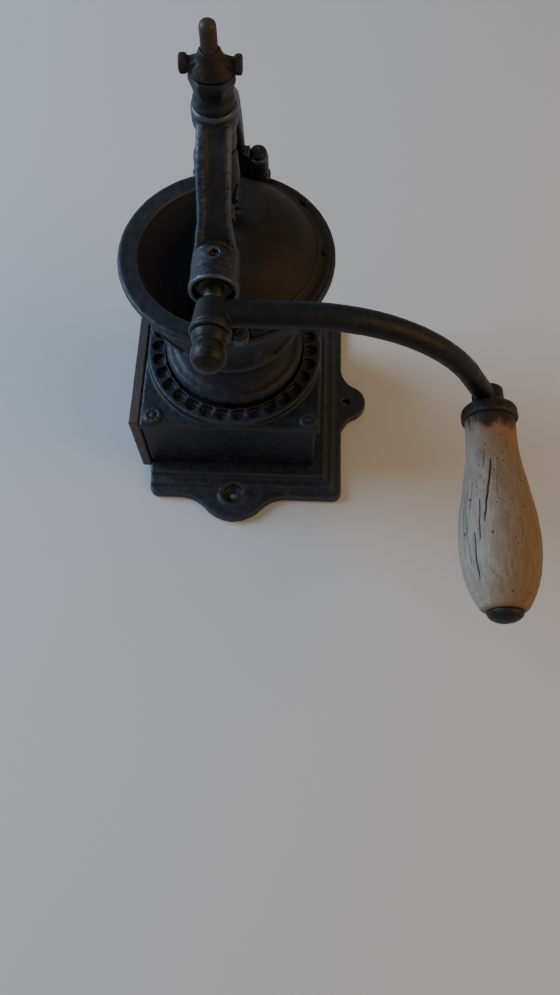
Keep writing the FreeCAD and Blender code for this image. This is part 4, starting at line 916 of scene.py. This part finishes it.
def make_grip():
    """The turned grip, with its cracks and pits sunk into the mesh."""
    profile = [(0, 72.6)] + grip_profile() + [(9.2, 161.8), (8.0, 162.0), (0, 162.0)]
    grip = lathe("wood_grip_look", profile, 300)
    co = read_points(grip, "co").astype(float) / MM
    radius = np.hypot(co[:, 0], co[:, 1])
    sunk, dark = grip_marks(radius, np.arctan2(co[:, 0], co[:, 1]), co[:, 2])
    co[:, :2] *= ((radius - sunk) / np.maximum(radius, 1e-6))[:, None]
    grip.data.vertices.foreach_set("co", (co * MM).astype(np.float32).ravel())
    write_values(grip, "crack", dark)
    moved(grip, ON_PIN)
    rough_cast(grip, 9.0, 0.35)
    smooth_shaded(grip, 45)
    finished(grip, "grip", "grip_wood", LOOKS["grip_wood"], "wood_grip")


# ---------------------------------------------------------------- camera, floor, light

def make_camera():
    """The photo's view, fitted to the edges of the deck, the rim and the foot plate."""
    camera = bpy.data.objects.new("camera", bpy.data.cameras.new("camera"))
    bpy.context.scene.collection.objects.link(camera)
    camera.data.sensor_width = 36.0
    camera.data.lens = 27.86
    camera.data.clip_start = 0.01
    place = (0.0314, -0.24511, 0.42873)
    pitch, yaw, roll = math.radians(67.18), math.radians(-1.06), math.radians(0.90)
    forward = Vector((math.sin(yaw) * math.cos(pitch), math.cos(yaw) * math.cos(pitch), -math.sin(pitch)))
    right = Vector((math.cos(yaw), -math.sin(yaw), 0))
    up = right.cross(forward)
    across = math.cos(roll) * right + math.sin(roll) * up
    above = -math.sin(roll) * right + math.cos(roll) * up
    turn = Matrix((across, above, -forward)).transposed().to_4x4()
    camera.matrix_world = Matrix.Translation(place) @ turn
    bpy.context.scene.camera = camera


def make_floor():
    """A plain pale table."""
    half = 12.0  # reaches beyond what the camera sees
    mesh = bpy.data.meshes.new("floor")
    mesh.from_pydata([(-half, -half, 0), (half, -half, 0), (half, half, 0), (-half, half, 0)], [],
                     [(0, 1, 2, 3)])
    floor = bpy.data.objects.new("floor", mesh)
    bpy.context.scene.collection.objects.link(floor)
    material, add = shader("floor")
    surface = add("BsdfPrincipled", {"Base Color": (0.62, 0.62, 0.615, 1), "Roughness": 0.65})
    add("OutputMaterial", {"Surface": surface.outputs[0]})
    mesh.materials.append(material)


def soft_light(name, place, size, colour, power):
    """A broad lamp that faces the mill."""
    lamp = bpy.data.lights.new(name, "AREA")
    lamp.shape = "RECTANGLE"
    lamp.size, lamp.size_y = size
    lamp.color = colour
    lamp.energy = power
    light = bpy.data.objects.new(name, lamp)
    light.location = place
    light.rotation_euler = (Vector((0.02, 0, 0.1)) - Vector(place)).to_track_quat("-Z", "Y").to_euler()
    bpy.context.scene.collection.objects.link(light)


def make_lights():
    """Blue daylight from a window on the left, a warm lamp on the right and the room's own pale light."""
    soft_light("window", (-1.5, 0.35, 0.95), (1.1, 1.0), (0.49, 0.71, 1.0), 33.5)
    soft_light("lamp", (1.25, -0.35, 1.0), (1.2, 1.2), (1.0, 0.56, 0.16), 9.5)
    world = bpy.data.worlds.new("room")
    bpy.context.scene.world = world
    world.use_nodes = True
    background = world.node_tree.nodes["Background"]
    background.inputs["Color"].default_value = (1.0, 0.94, 0.84, 1)
    background.inputs["Strength"].default_value = 0.23  # fills the shadows


make_camera()
make_floor()
make_lights()
dress_nodes()
make_castings()
make_rosettes()
make_bridge()
make_bridge_screws()
make_thrust_collar()
make_wing_nut()
make_spindle()
make_crank_arm()
make_crank_nut()
make_pin_end()
make_ferrule()
make_cap()
make_grip()
